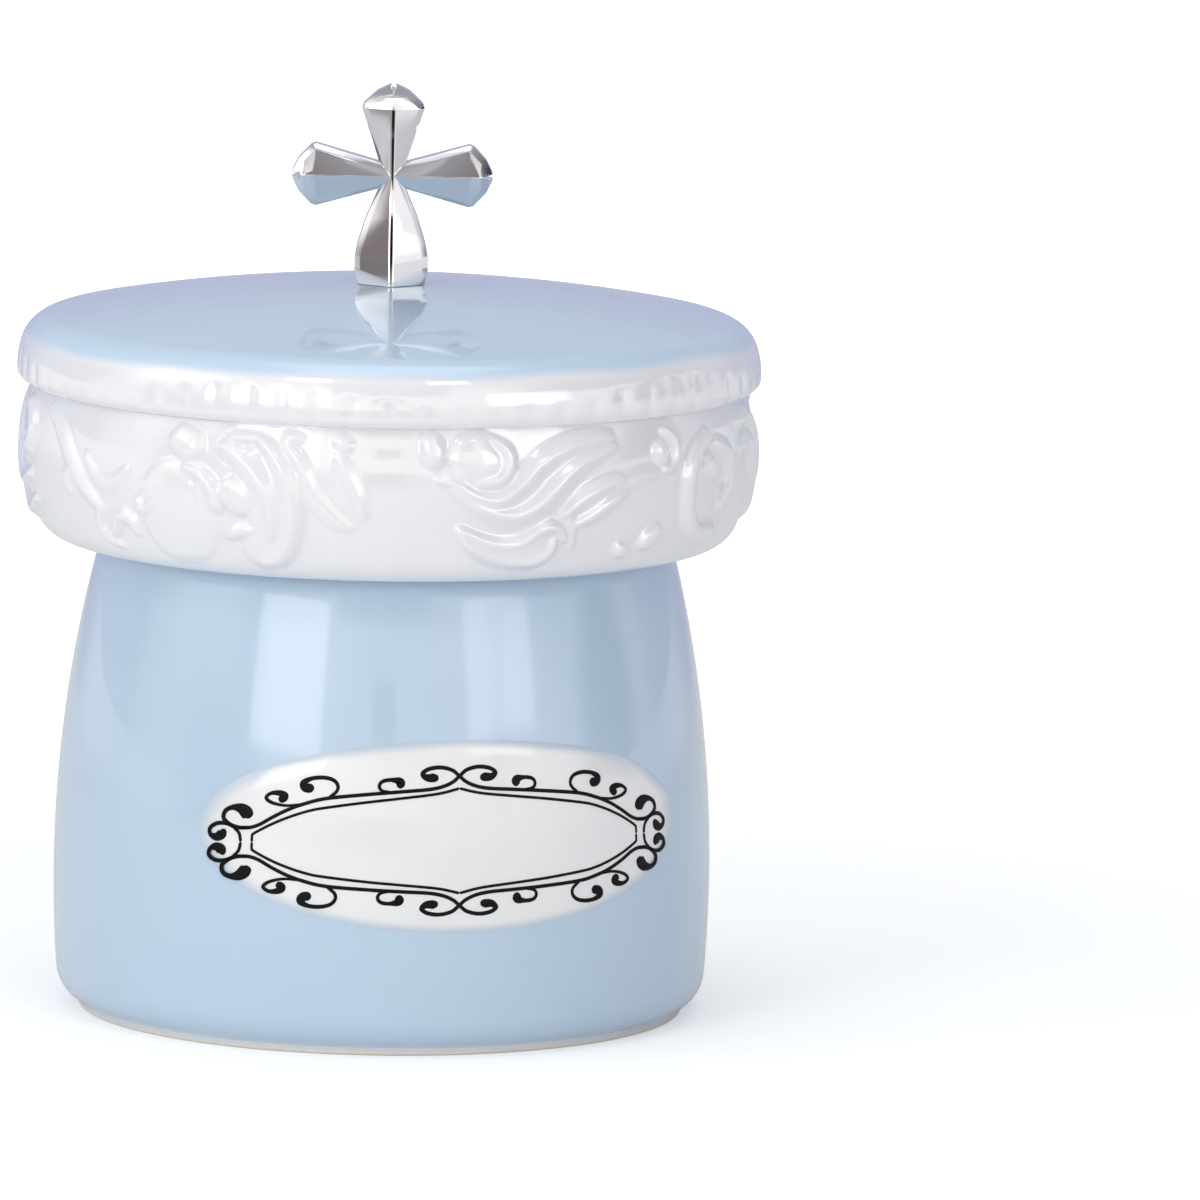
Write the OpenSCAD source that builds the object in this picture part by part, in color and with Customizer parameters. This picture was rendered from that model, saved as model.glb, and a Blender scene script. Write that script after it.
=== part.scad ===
// Small round porcelain box for a rosary: a blue-glazed jar with a white oval label panel,
// and a lift-off lid with a moulded white scroll border and a plated metal cross as its knob.
// Millimetres, +Z up, origin on the table at the jar's axis. The front faces -Y.

/* [Jar] */
// Widest radius of the jar
jar_r = 30; // [28:0.5:34]
// Height of the jar at the crown of its lip
jar_h = 43.2; // [38:0.2:50]
// Height of the widest point above the table
belly_z = 12.5; // [10:0.5:16]
// Radius of the long curve of the side, seen from the front
belly_curve = 120; // [100:5:160]
// Thickness of the jar's wall
jar_wall = 2.4; // [2:0.1:3]
// Thickness of the jar's bottom, above the hollow under it
jar_bottom = 2.8; // [2:0.1:4]
// Round between the side and the base
base_round = 3.2; // [2.5:0.1:4]
// Round of the shoulder below the lip
shoulder_round = 4; // [3.5:0.1:5]
// Round of the lip's edge
lip_round = 1.1; // [0.6:0.1:1.2]
// Round inside, between the wall and the bottom
inner_round = 3; // [1.5:0.1:5]

/* [Foot] */
// Outer radius of the unglazed foot ring
foot_r = 27.6; // [27:0.1:28.4]
// Width of the foot ring
foot_w = 3; // [2:0.1:5]
// Height of the glazed hollow inside the foot ring
foot_hollow = 1.2; // [0.6:0.1:2]
// Height of the step that parts the foot ring from the rounded base
foot_step = 0.5; // [0.3:0.1:0.8]
// Small chamfer on the foot ring's edges
foot_chamfer = 0.3; // [0.1:0.05:0.4]

/* [Label panel] */
// Width of the oval along the curved wall
label_w = 49.8; // [40:0.2:56]
// Height of the oval
label_h = 17.3; // [12:0.1:20]
// Height of the oval's centre above the table
label_z = 20.2; // [16:0.2:24]
// Turn of the oval's centre from the front, towards +X
label_turn = 14; // [-30:1:30]
// Thickness of the fired panel
label_t = 0.18; // [0.12:0.02:0.4]

/* [Lid] */
// Radius of the lid at its bead, the widest place
lid_r = 33.7; // [32:0.1:37]
// Height of the bead's middle above the lid's seat
bead_z = 16.8; // [15:0.1:20]
// Round of the bead round the lid's top edge
bead_round = 3.5; // [3:0.1:4.2]
// Height of the domed top above the bead's middle
dome_rise = 6.4; // [5.5:0.1:8]
// How far the widest part of the band's ground lies inside the bead
band_inset = 0.5; // [0.3:0.05:1]
// Height of that widest place above the seat
band_z = 9; // [8:0.1:10]
// Radius of the band's bulge, seen from the front
band_curve = 20; // [16:1:26]
// Round between the band and the flat seat
skirt_round = 3; // [2:0.1:4]
// Thickness of the lid's wall
lid_wall = 2.7; // [2.4:0.1:3.2]
// Gap between the closed lid's seat and the jar's lip
seat_gap = 0.05; // [0.03:0.01:0.2]

/* [Locating flange] */
// Depth of the flange that drops into the jar's mouth
flange_h = 2.3; // [1.6:0.1:4]
// Gap all round between the flange and the mouth
flange_gap = 0.6; // [0.3:0.1:1.2]
// Thickness of the flange
flange_t = 2.5; // [2:0.1:3]

/* [Relief border] */
// Depth of the relief above its ground
relief_h = 0.8; // [0.4:0.05:1]
// Thickness of the border's ground at its lower edge, where it is thinnest
border_t = 0.4; // [0.3:0.05:0.6]
// Height of the border's lower edge above the seat
border_low = 1.7; // [1.5:0.1:2.2]
// Height of the lid's narrow ledge between the groove under the bead and the border
border_ledge = 0.1; // [0.05:0.05:0.4]
// Gap between the border and its channel in the lid
border_gap = 0.05; // [0.03:0.01:0.1]
// Times that the pattern goes round the lid
relief_repeats = 2; // [1:1:3]
// Columns of the border's mesh in one repeat
relief_columns = 108; // [60:4:120]
// Rows of the border's mesh
relief_rows = 22; // [12:1:24]

/* [Cross] */
// Half the span of the side arms
arm_reach = 9.15; // [8:0.05:11]
// Height of the crossing above the cross's foot
cross_centre = 10; // [9:0.1:12]
// Height of the top arm above the crossing
top_reach = 8.3; // [7:0.1:10]
// Half the width of an arm at its widest
arm_w = 2.85; // [2.2:0.05:3.4]
// Half the width of an arm where it leaves the crossing
arm_neck = 1.25; // [1:0.05:1.5]
// Half the width of the stem at its widest, near its foot
stem_w = 3.35; // [3:0.05:4]
// Half the width of the stem at its foot
foot_half = 3; // [2.7:0.05:3.3]
// Width of the polished bevel round the cross
bevel_w = 0.55; // [0.4:0.05:0.6]
// Half the thickness of the cross at its edge
edge_t = 0.75; // [0.5:0.05:0.9]
// Half the thickness at the inner line of the bevel
bevel_t = 1.2; // [1:0.05:1.3]
// Half the thickness at the ridges of the arms
ridge_t = 1.8; // [1.6:0.05:2.2]
// Half the thickness at the ridge at the foot of the stem
foot_ridge = 2.9; // [2.7:0.05:3.2]

/* [Screw] */
// Radius of the screw that holds the cross
screw_r = 1.2; // [1:0.05:1.3]
// Depth of the screw in the cross
screw_grip = 4.5; // [3:0.1:5.5]
// Gap round the screw in its tapped hole
thread_gap = 0.05; // [0.03:0.01:0.08]
// Gap round the screw in the porcelain
hole_gap = 0.4; // [0.2:0.05:0.5]
// Radius of the screw's head
head_r = 2.6; // [2.3:0.05:3]
// Height of the screw's head
head_h = 1.5; // [1.2:0.1:2]
// Radius of the soft washer under the head
washer_r = 3.6; // [3.2:0.1:4]
// Thickness of the washer
washer_t = 0.8; // [0.5:0.1:1.2]

/* [Hidden] */
$fn = 96;
// Steps of every arc in the turned profiles
steps = 12;
// Side gap between flat faces that lie on each other within one body
face_gap = 0.02;
blue = "#c3d7e8";
white = "#f1f0f4";
silver = "#b9b9bd";
steel = "#8f9297";
fibre = "#c9b18a";

// --- geometry of the turned profiles -------------------------------------------------

function arc(c, r, a0, a1, n = steps) =
    [for (i = [0:n]) let (a = a0 + (a1 - a0) * i / n) c + r * [cos(a), sin(a)]];

// One of the two points where circle (a, ra) meets circle (b, rb): side +1 is left of a->b.
function meet(a, ra, b, rb, side) =
    let (
        d = norm(b - a),
        u = (b - a) / d,
        along = (ra * ra - rb * rb + d * d) / (2 * d),
        off = sqrt(max(0, ra * ra - along * along))
    )
    a + along * u + side * off * [-u.y, u.x];

function bearing(from, to) = atan2(to.y - from.y, to.x - from.x);

// Centre of the long curve of the jar's side.
belly_c = [jar_r - belly_curve, belly_z];
function belly_x(z, inset = 0) = belly_c.x + sqrt(pow(belly_curve - inset, 2) - pow(z - belly_z, 2));

// The lip is a full round at the top of the wall, within the wall's thickness.
lip = min(lip_round, 0.45 * jar_wall);
lip_z = jar_h - lip;
lip_c = [belly_x(lip_z, jar_wall - lip), lip_z];
mouth_r = lip_c.x - lip;
shoulder_c = meet(belly_c, belly_curve - shoulder_round, lip_c, shoulder_round - lip, -1);

// The base's round touches the side and stands on the foot's step.
base_z = foot_step + base_round;
base_c = [
    belly_c.x + sqrt(pow(belly_curve - base_round, 2) - pow(base_z - belly_z, 2)),
    base_z
];
// The foot ring is turned from a disc that reaches up into the rounded base.
foot_disc_z = foot_step + base_round / 3;
foot_in = foot_r - foot_w;
floor_z = foot_hollow + jar_bottom;
inner_c = [
    belly_c.x + sqrt(pow(belly_curve - jar_wall - inner_round, 2) - pow(floor_z + inner_round - belly_z, 2)),
    floor_z + inner_round
];

module jar() {
    color(blue)
        rotate_extrude()
            difference() {
                union() {
                    jar_wall_profile();
                    polygon([
                        [0, 0], [foot_r - foot_chamfer, 0], [foot_r, foot_chamfer],
                        [foot_r, foot_disc_z], [0, foot_disc_z]
                    ]);
                }
                // the glazed hollow inside the foot ring
                polygon([
                    [0, -1], [foot_in + foot_chamfer + 1, -1], [foot_in, foot_chamfer],
                    [foot_in - foot_chamfer, foot_hollow], [0, foot_hollow]
                ]);
            }
}

module jar_wall_profile() {
    polygon(concat(
        [[0, foot_step]],
        arc(base_c, base_round, -90, bearing(belly_c, base_c)),
        arc(belly_c, belly_curve, bearing(belly_c, base_c), bearing(belly_c, shoulder_c), 2 * steps),
        arc(shoulder_c, shoulder_round, bearing(belly_c, shoulder_c), bearing(shoulder_c, lip_c), 6),
        arc(lip_c, lip, bearing(shoulder_c, lip_c), 180 + bearing(belly_c, lip_c)),
        arc(belly_c, belly_curve - jar_wall, bearing(belly_c, lip_c), bearing(belly_c, inner_c), 2 * steps),
        arc(inner_c, inner_round, bearing(belly_c, inner_c), -90),
        [[0, floor_z]]
    ));
}

// --- label panel ---------------------------------------------------------------------

// The oval is drawn on the unrolled wall and wrapped round the jar, so its ends keep their shape.
module label_oval() {
    polygon([for (a = [0:5:355])
        [jar_r * sin(label_w / 2 * cos(a) / jar_r * 180 / PI), label_z + label_h / 2 * sin(a)]]);
}

module label_panel() {
    color(white)
        rotate([0, 0, label_turn])
            intersection() {
                rotate_extrude()
                    difference() {
                        label_profile(label_t);
                        label_profile(face_gap);
                    }
                rotate([90, 0, 0])
                    linear_extrude(2 * jar_r)
                        label_oval();
            }
}

// The side's long curve, moved out by a distance, as far as the label's oval reaches.
module label_profile(out) {
    polygon(concat(
        [[0, label_z - label_h / 2 - 1]],
        arc(belly_c, belly_curve + out,
            asin((label_z - label_h / 2 - 1 - belly_z) / (belly_curve + out)),
            asin((label_z + label_h / 2 + 1 - belly_z) / (belly_curve + out)), steps),
        [[0, label_z + label_h / 2 + 1]]
    ));
}

// --- lid -----------------------------------------------------------------------------

seat_z = jar_h + seat_gap;

// Heights in the lid's own profile count from its seat.
bead_c = [lid_r - bead_round, bead_z];
apex_z = bead_z + dome_rise;
// The dome's curve starts at the apex and runs tangent into the bead's round.
dome_drop = (pow(bead_c.x, 2) - pow(dome_rise - bead_round, 2)) / (2 * (dome_rise - bead_round));
dome_c = [0, bead_z - dome_drop];
dome_curve = apex_z - dome_c.y;
dome_edge = bearing(dome_c, bead_c);

band_r = lid_r - band_inset;
band_c = [band_r - band_curve, band_z];
groove = meet(band_c, band_curve, bead_c, bead_round, -1);
border_high = groove.y - border_ledge;
function band_x(z) = band_c.x + sqrt(pow(band_curve, 2) - pow(z - band_z, 2));

// The skirt's round touches the band's bulge and the flat seat.
skirt_c = [band_c.x + sqrt(pow(band_curve - skirt_round, 2) - pow(skirt_round - band_z, 2)), skirt_round];

channel_r = band_x(border_low) - border_t;
cavity_r = channel_r - lid_wall / 2;
flange_r = mouth_r - flange_gap;
flange_in = flange_r - flange_t;
flange_edge = 0.6;
cavity_round = 2.5;
roof_curve = dome_curve - lid_wall;
roof_c = [
    cavity_r - cavity_round,
    dome_c.y + sqrt(pow(roof_curve - cavity_round, 2) - pow(cavity_r - cavity_round, 2))
];
hole_r = screw_r + hole_gap;
// Flat lands, ground for the cross above and for the washer below.
top_land = foot_ridge + 0.4;
roof_land = washer_r + 0.4;
top_land_z = dome_c.y + sqrt(pow(dome_curve, 2) - pow(top_land, 2));
roof_land_z = dome_c.y + sqrt(pow(roof_curve, 2) - pow(roof_land, 2));

module lid() {
    color(blue)
        translate([0, 0, seat_z])
            rotate_extrude()
                polygon(concat(
                    [[hole_r, top_land_z]],
                    arc(dome_c, dome_curve, acos(top_land / dome_curve), dome_edge, 2 * steps),
                    arc(bead_c, bead_round, dome_edge, bearing(bead_c, groove)),
                    arc(band_c, band_curve, bearing(band_c, groove), asin((border_high - band_z) / band_curve), 3),
                    [[channel_r, border_high], [channel_r, border_low]],
                    arc(skirt_c, skirt_round, asin(border_low / skirt_round - 1), -90),
                    [[flange_r, 0], [flange_r, flange_edge - flange_h], [flange_r - flange_edge, -flange_h]],
                    [[flange_in + flange_edge, -flange_h], [flange_in, flange_edge - flange_h], [flange_in, lid_wall]],
                    arc([cavity_r - 1.5, lid_wall + 1.5], 1.5, -90, 0, 6),
                    arc(roof_c, cavity_round, 0, bearing(dome_c, roof_c)),
                    arc(dome_c, roof_curve, bearing(dome_c, roof_c), acos(roof_land / roof_curve), 2 * steps),
                    [[hole_r, roof_land_z]]
                ));
}

// --- relief border -------------------------------------------------------------------

// Strokes of the scroll work on the unrolled band, in millimetres: the first number along the
// band from the middle of the front, the second above the lid's seat. Each stroke is [points that
// it runs through, half width at the start, in the middle and at the end, height as a share of
// relief_h, crispness from 0 for a round back to 1 for a sharp crest with hollow flanks].
// They are drawn for a repeat this long, between these heights, and stretch with the border.
DRAWN_SPAN = 104.3;
DRAWN_LOW = 1.7;
DRAWN_HIGH = 14.1;
STROKES = [
    // the disc: its body, its rim, the inner line with its dot, and the notch at its left
    [[[-20.2, 6.4], [-19.8, 5]], 3.3, 3.4, 3.4, 0.7, 0],
    [[[-19, 9.9], [-17.6, 9.5], [-16.3, 8.2], [-15.8, 6.4]], 0.35, 0.6, 0.4, 0.95, 0.3],
    [[[-17.3, 9.2], [-17.4, 7.6], [-17.5, 5.4]], 0.35, 0.35, 0.5, 0.85, 0.5],
    [[[-24.4, 6.4], [-23.9, 5.6], [-22.8, 6.3], [-21.8, 7]], 0.4, 0.5, 0.4, 0.9, 0.3],
    // the knob above the disc
    [[[-19.6, 12.2], [-18.6, 11.8]], 1.1, 1.2, 1.15, 0.95, 0],
    [[[-19.6, 13.3], [-17.8, 12.6]], 0.4, 0.45, 0.4, 0.8, 0.3],
    // the crescent beside it: body, inner ridge, outer ridge, third ridge
    [[[-12.6, 10.6], [-10.8, 7.6], [-10.6, 4.8], [-12, 2.8]], 1.2, 1.9, 1.2, 0.55, 0],
    [[[-15.2, 12], [-13.4, 11], [-12, 9.6], [-11, 8.2], [-10.4, 6], [-10.5, 4.2]], 0.5, 0.9, 0.4, 1, 0.35],
    [[[-11.6, 12.8], [-10.4, 11.6], [-9.3, 9.8], [-8.6, 7.4], [-8.7, 5], [-9.6, 2.8],
      [-11.2, 1.8]], 0.4, 0.9, 0.9, 1, 0.4],
    [[[-9.3, 12.5], [-8.4, 11.6], [-7.5, 10.2], [-6.8, 8.6]], 0.3, 0.6, 0.2, 0.75, 0.6],
    // the lobe and the bar inside the crescent, and two short bars at its top
    [[[-14.3, 8], [-13.5, 7.2]], 1.1, 1.2, 1.1, 0.7, 0],
    [[[-14.8, 3.9], [-13.6, 4.5], [-12.2, 4.7]], 0.3, 0.55, 0.3, 0.65, 0.3],
    [[[-14.6, 12.9], [-12.2, 12.9]], 0.3, 0.35, 0.3, 0.6, 0.2],
    [[[-9.2, 13.1], [-8.1, 13.1]], 0.35, 0.35, 0.3, 0.6, 0.2],
    // the plain leaf in the middle of the front
    [[[-7.8, 9.8], [-6.4, 7.6], [-4.8, 6], [-3.2, 5.2]], 0.5, 0.8, 0.3, 0.4, 0.3],
    [[[-4.4, 11.6], [-3.6, 10], [-2.6, 7.8], [-2, 6.2]], 0.4, 0.7, 0.3, 0.6, 0.7],
    [[[-4.4, 13], [-3.6, 12.6]], 0.5, 0.55, 0.4, 0.55, 0],
    // the ball, its rim and its knob
    [[[8.1, 11.6], [8.6, 11]], 2, 2.1, 2, 0.85, 0],
    [[[9.6, 13.2], [10.8, 12.2], [11, 10.8], [10, 9.6], [8.2, 9.4]], 0.3, 0.5, 0.3, 0.95, 0],
    [[[3.9, 13], [4.1, 12.2], [4.2, 11.6]], 0.8, 0.9, 0.7, 0.8, 0],
    // the two long ribs of the leaf
    [[[4.6, 9.7], [6.2, 9.3], [7.8, 8.3], [10, 7.8], [12, 9], [14, 10.9], [16.4, 12.1], [19, 12.8],
      [21.4, 13]], 0.35, 1.1, 0.4, 1, 0.75],
    [[[5.8, 8.8], [7.6, 7.5], [9.6, 6.7], [11.8, 6.4], [13.8, 7.2], [15.4, 8.6], [17, 10.1],
      [19, 11.2], [21.8, 12]], 0.35, 1.1, 0.4, 1, 0.75],
    // the lower leaf: body, upper rib, lower rib, and the short stem beside it
    [[[8.4, 3.7], [11.4, 3], [14.2, 3.4]], 0.5, 0.8, 1.1, 0.55, 0],
    [[[6.6, 5.3], [8.4, 4.3], [10.4, 3.7], [12.4, 3.8], [14, 4.8], [15.2, 5.2], [16.2, 4.9],
      [16.8, 3.9]], 0.3, 0.8, 0.3, 0.9, 0.75],
    [[[6.5, 5.2], [7.4, 3.9], [9, 2.9], [11.2, 2.3], [13.6, 2.1], [15.2, 2.8],
      [15.7, 3.8]], 0.3, 0.8, 0.4, 0.95, 0.6],
    [[[17.1, 6], [17.5, 4.6], [17.6, 3]], 0.5, 0.5, 0.2, 0.5, 0.4],
    // the pair of short ribs, and the faint one that runs on to the hook
    [[[16.4, 6.2], [18.4, 7.6], [20.6, 8.6], [22.6, 9.2]], 0.35, 0.9, 0.3, 0.85, 0.75],
    [[[17.8, 5.3], [19.6, 6.1], [21.2, 7.1], [23, 7.9]], 0.3, 0.9, 0.3, 0.8, 0.75],
    [[[21.6, 8.6], [24.6, 9.1], [27.8, 9.6]], 0.4, 0.6, 0.3, 0.45, 0.3],
    // the hook and its knob, then the two drops
    [[[28.2, 13], [29.2, 12.2], [29.5, 11], [29, 9.9], [27.8, 9.5]], 0.35, 0.6, 0.3, 0.9, 0.3],
    [[[27.4, 11.4], [27.6, 10.8]], 0.7, 0.8, 0.7, 0.75, 0],
    [[[23.2, 2.6], [23.9, 2.4]], 0.6, 0.6, 0.5, 0.65, 0],
    [[[26, 3], [26.9, 3.4], [27.8, 4.2]], 0.5, 0.8, 0.35, 0.75, 0],
    // the next scroll, at the right edge of the front
    [[[34.6, 8.6], [35.2, 6.2]], 1.6, 1.8, 1.6, 0.5, 0],
    [[[34.6, 12], [32.6, 10.6], [31.6, 8.2], [32, 5.2], [34, 3.2], [37, 3]], 0.5, 0.9, 0.6, 0.9, 0.2],
    [[[36.6, 11], [39, 9.6], [39.2, 7], [37.4, 5.6]], 0.5, 1, 0.8, 0.85, 0.2],
    // the long leaf, its knob and the small hook at the left edge of the front
    [[[-38.6, 13], [-36, 11.2], [-33.8, 8.6], [-31.6, 6.4], [-29.4, 5]], 0.5, 1, 0.4, 0.7, 0.5],
    [[[-35, 7.4], [-34.6, 6.2]], 0.6, 0.7, 0.5, 0.6, 0],
    [[[-31.8, 9.6], [-30, 7.8], [-27.6, 7.6], [-25.8, 9]], 0.3, 0.7, 0.3, 0.35, 0.2],
    [[[-29.8, 4.8], [-30.2, 3.4], [-29.2, 2.4], [-27.4, 1.9]], 0.4, 0.5, 0.3, 0.7, 0.3],
    [[[-28.2, 3], [-27.2, 4.5], [-25.8, 4.5], [-25, 3.4]], 0.4, 0.6, 0.4, 0.7, 0.2],
    // the leaf that joins one repeat to the next, out of sight at the side
    [[[42.2, 12.4], [45, 12.8], [48, 10.8], [51, 7.2], [55, 5.4], [59.8, 6.4]], 0.5, 1.1, 0.4, 0.95, 0.6],
    [[[42.4, 10], [45.2, 10.4], [47.8, 8], [50.6, 4.2], [55, 2.6], [60.4, 4.2]], 0.4, 1, 0.3, 0.9, 0.6],
    [[[57.6, 12.6], [60, 12.4], [61.2, 10.8], [60, 9.2], [58.2, 9.4]], 0.5, 0.9, 0.7, 0.9, 0.1]
];

// The place at t from 0 to 1 on a smooth curve through the points.
function through(p, t) =
    let (
        spans = len(p) - 1,
        i = min(spans - 1, floor(t * spans)),
        u = t * spans - i,
        b = p[i],
        c = p[i + 1],
        a = i > 0 ? p[i - 1] : 2 * b - c,
        d = i + 2 <= spans ? p[i + 2] : 2 * c - b
    )
    b + 0.5 * u * (c - a + u * (2 * a - 5 * b + 4 * c - d + u * (3 * b - a - 3 * c + d)));

// A stroke's half width at t from 0 to 1, through its three stated widths.
function width_at(s, t) = (1 - t) * (1 - 2 * t) * s[1] + 4 * t * (1 - t) * s[2] + t * (2 * t - 1) * s[3];

relief_span = 2 * PI * band_r / relief_repeats;
stretch = [relief_span / DRAWN_SPAN, (border_high - border_low) / (DRAWN_HIGH - DRAWN_LOW)];
function place(p) = [p.x * stretch.x, border_low + (p.y - DRAWN_LOW) * stretch.y];

stroke_steps = 14;
stroke_paths = [for (s = STROKES) [for (i = [0:stroke_steps]) place(through(s[0], i / stroke_steps))]];
stroke_reach = 5;

function seg_t(p, a, b) = max(0, min(1, (p - a) * (b - a) / ((b - a) * (b - a))));

// How high a stroke stands at a share u of its half width from its middle.
function section(u, crisp) = (1 - crisp) * sqrt(1 - u * u) + crisp * pow(1 - u, 1.6);

// How high one stroke stands at point p, a little wider than its brush.
function stroke_at(k, p) =
    let (
        path = stroke_paths[k],
        near = min([for (q = path) norm(p - q)])
    )
    near > stroke_reach ? 0 :
    max([for (i = [0:stroke_steps - 1])
        let (
            t = seg_t(p, path[i], path[i + 1]),
            d = norm(p - path[i] - t * (path[i + 1] - path[i])),
            w = 1.25 * width_at(STROKES[k], (i + t) / stroke_steps)
        )
        d < w ? STROKES[k][4] * section(d / w, STROKES[k][5]) : 0]);

relief_cell = relief_span / relief_columns;
front_column = floor(relief_columns / 2);
border_top = border_high - border_gap;
border_bottom = border_low + border_gap;

function row_z(j) = border_bottom + (border_top - border_bottom) * j / relief_rows;
// The relief dies out at the border's two edges.
function edge_fade(j) = min(1, 1.4 * sin(180 * j / relief_rows) + 0.05);
function relief_at(i, j) =
    let (s = (i - front_column) * relief_cell, z = row_z(j))
    max([for (k = [0:len(STROKES) - 1])
        max(stroke_at(k, [s, z]), abs(s) > 0.35 * relief_span
            ? stroke_at(k, [s + sign(-s) * relief_span, z]) : 0)]);

relief_grid = [for (i = [0:relief_columns - 1])
    [for (j = [0:relief_rows]) edge_fade(j) * relief_h * relief_at(i, j)]];

// The border is a ring with a plain cylindrical back, seated in the lid's channel.
module relief_border() {
    columns = relief_columns * relief_repeats;
    per = relief_rows + 3;
    back = channel_r + border_gap;
    points = [for (i = [0:columns - 1])
        let (
            turn = -90 + 360 * (i - front_column) / columns,
            dir = [cos(turn), sin(turn)]
        )
        each concat(
            [for (j = [0:relief_rows])
                let (r = band_x(row_z(j)) + relief_grid[i % relief_columns][j])
                [r * dir.x, r * dir.y, row_z(j)]],
            [[back * dir.x, back * dir.y, border_top], [back * dir.x, back * dir.y, border_bottom]]
        )];
    faces = [for (i = [0:columns - 1])
        let (a = i * per, b = ((i + 1) % columns) * per)
        for (j = [0:per - 1])
            let (k = (j + 1) % per)
            each [[a + j, a + k, b + k], [a + j, b + k, b + j]]];
    color(white)
        translate([0, 0, seat_z])
            polyhedron(points, faces);
}

// --- cross ---------------------------------------------------------------------------

cross_z = seat_z + top_land_z + face_gap;

// One station of an arm: [distance from the crossing, half width, lean of the bevel, half
// thickness at the ridge]. The bevel runs in from the edge, across the arm at lean 0 and along
// it at lean 90, as it does round a tip.
function tip_stations(reach) = [
    [reach * 0.45, arm_neck + (arm_w - arm_neck) * 0.5, 0, ridge_t],
    [reach - 2.2, arm_w, 5, ridge_t],
    [reach - 1.75, arm_w * 0.95, 40, ridge_t],
    [reach - 0.6, arm_w * 0.52, 60, ridge_t * 0.98],
    [reach - 0.15, arm_w * 0.2, 75, ridge_t * 0.94],
    [reach, arm_w * 0.07, 88, ridge_t * 0.9]
];

// The stem swells towards its foot, where its ridges stand furthest out.
stem_stations = [
    [cross_centre * 0.38, arm_neck + (stem_w - arm_neck) * 0.52, 0, ridge_t * 1.1],
    [cross_centre * 0.62, arm_neck + (stem_w - arm_neck) * 0.88, 0, foot_ridge * 0.84],
    [cross_centre * 0.76, stem_w, 0, foot_ridge * 0.96],
    [cross_centre * 0.86, stem_w, 0, foot_ridge],
    [cross_centre * 0.95, (stem_w + foot_half) / 2, 0, foot_ridge],
    [cross_centre, foot_half, 0, foot_ridge]
];

// The four arms, anticlockwise from the top one, lofted out of the crossing in one skin. The
// section has ten corners: an edge, a bevel and a ridge on the front, and the same on the back.
module cross_body() {
    arms = [tip_stations(top_reach), tip_stations(arm_reach), stem_stations, tip_stations(arm_reach)];
    count = len(stem_stations);
    neck_in = arm_neck - 1.3 * bevel_w;
    function turned(p, k) = [p.x * cos(90 * k) - p.y * sin(90 * k), p.x * sin(90 * k) + p.y * cos(90 * k), p.z];
    // Shared points: the centre's front and back, then four at each inner corner of the crossing.
    crossing = concat(
        [[0, 0, ridge_t * 0.85], [0, 0, -ridge_t * 0.85]],
        [for (k = [0:3]) each [
            turned([-arm_neck, arm_neck, edge_t], k), turned([-neck_in, neck_in, bevel_t], k),
            turned([-neck_in, neck_in, -bevel_t], k), turned([-arm_neck, arm_neck, -edge_t], k)
        ]]
    );
    outer = [for (k = [0:3]) for (s = arms[k])
        let (
            x = max(0.04, s[1] - bevel_w * cos(s[2])),
            y = s[0] - bevel_w * sin(s[2]),
            ridge_y = s[0] - 1.3 * bevel_w * sin(s[2])
        )
        each [for (p = [
            [-s[1], s[0], edge_t], [-x, y, bevel_t], [0, ridge_y, s[3]], [x, y, bevel_t], [s[1], s[0], edge_t],
            [s[1], s[0], -edge_t], [x, y, -bevel_t], [0, ridge_y, -s[3]], [-x, y, -bevel_t], [-s[1], s[0], -edge_t]
        ]) turned(p, k)]];
    // The ten corners of arm k at station i, where station 0 is the crossing itself.
    function ring(k, i) =
        let (left = 2 + 4 * k, right = 2 + 4 * ((k + 3) % 4))
        i == 0
            ? [left, left + 1, 0, right + 1, right, right + 3, right + 2, 1, left + 2, left + 3]
            : [for (j = [0:9]) len(crossing) + 10 * (count * k + i - 1) + j];
    faces = concat(
        [for (k = [0:3]) for (i = [0:count - 1]) for (j = [0:9])
            let (a = ring(k, i), b = ring(k, i + 1), n = (j + 1) % 10)
            each [[a[j], b[j], b[n]], [a[j], b[n], a[n]]]],
        [for (k = [0:3]) let (r = ring(k, count)) [for (j = [9:-1:0]) r[j]]]
    );
    polyhedron(concat(crossing, outer), faces);
}

module cross() {
    color(silver)
        translate([0, 0, cross_z])
            difference() {
                translate([0, 0, cross_centre])
                    rotate([90, 0, 0])
                        cross_body();
                // tapped hole for the screw, 0.6 deeper than the screw reaches
                translate([0, 0, -1])
                    cylinder(r = screw_r + thread_gap, h = screw_grip + 1.6);
            }
}

// --- fixing --------------------------------------------------------------------------

washer_z = seat_z + roof_land_z - face_gap - washer_t;
head_z = washer_z - face_gap - head_h;

module screw_washer() {
    color(fibre)
        translate([0, 0, washer_z])
            difference() {
                cylinder(r = washer_r, h = washer_t);
                translate([0, 0, -1])
                    cylinder(r = hole_r, h = washer_t + 2);
            }
}

// A pan-head screw with a cross recess, driven from inside the lid.
module cross_screw() {
    recess_w = 0.55;
    recess_l = 2.8;
    recess_d = 0.8;
    color(steel)
        difference() {
            union() {
                translate([0, 0, head_z])
                    rotate_extrude()
                        polygon(concat(
                            [[0, 0]],
                            arc([head_r - 0.8, 0.8], 0.8, -90, 0, 5),
                            [[head_r, head_h], [0, head_h]]
                        ));
                translate([0, 0, head_z + head_h / 2])
                    cylinder(r = screw_r, h = cross_z + screw_grip - head_z - head_h / 2);
            }
            for (a = [0, 90])
                translate([0, 0, head_z])
                    rotate([0, 0, a])
                        cube([recess_l, recess_w, 2 * recess_d], center = true);
        }
}

jar();
label_panel();
lid();
relief_border();
cross();
cross_screw();
screw_washer();
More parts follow.
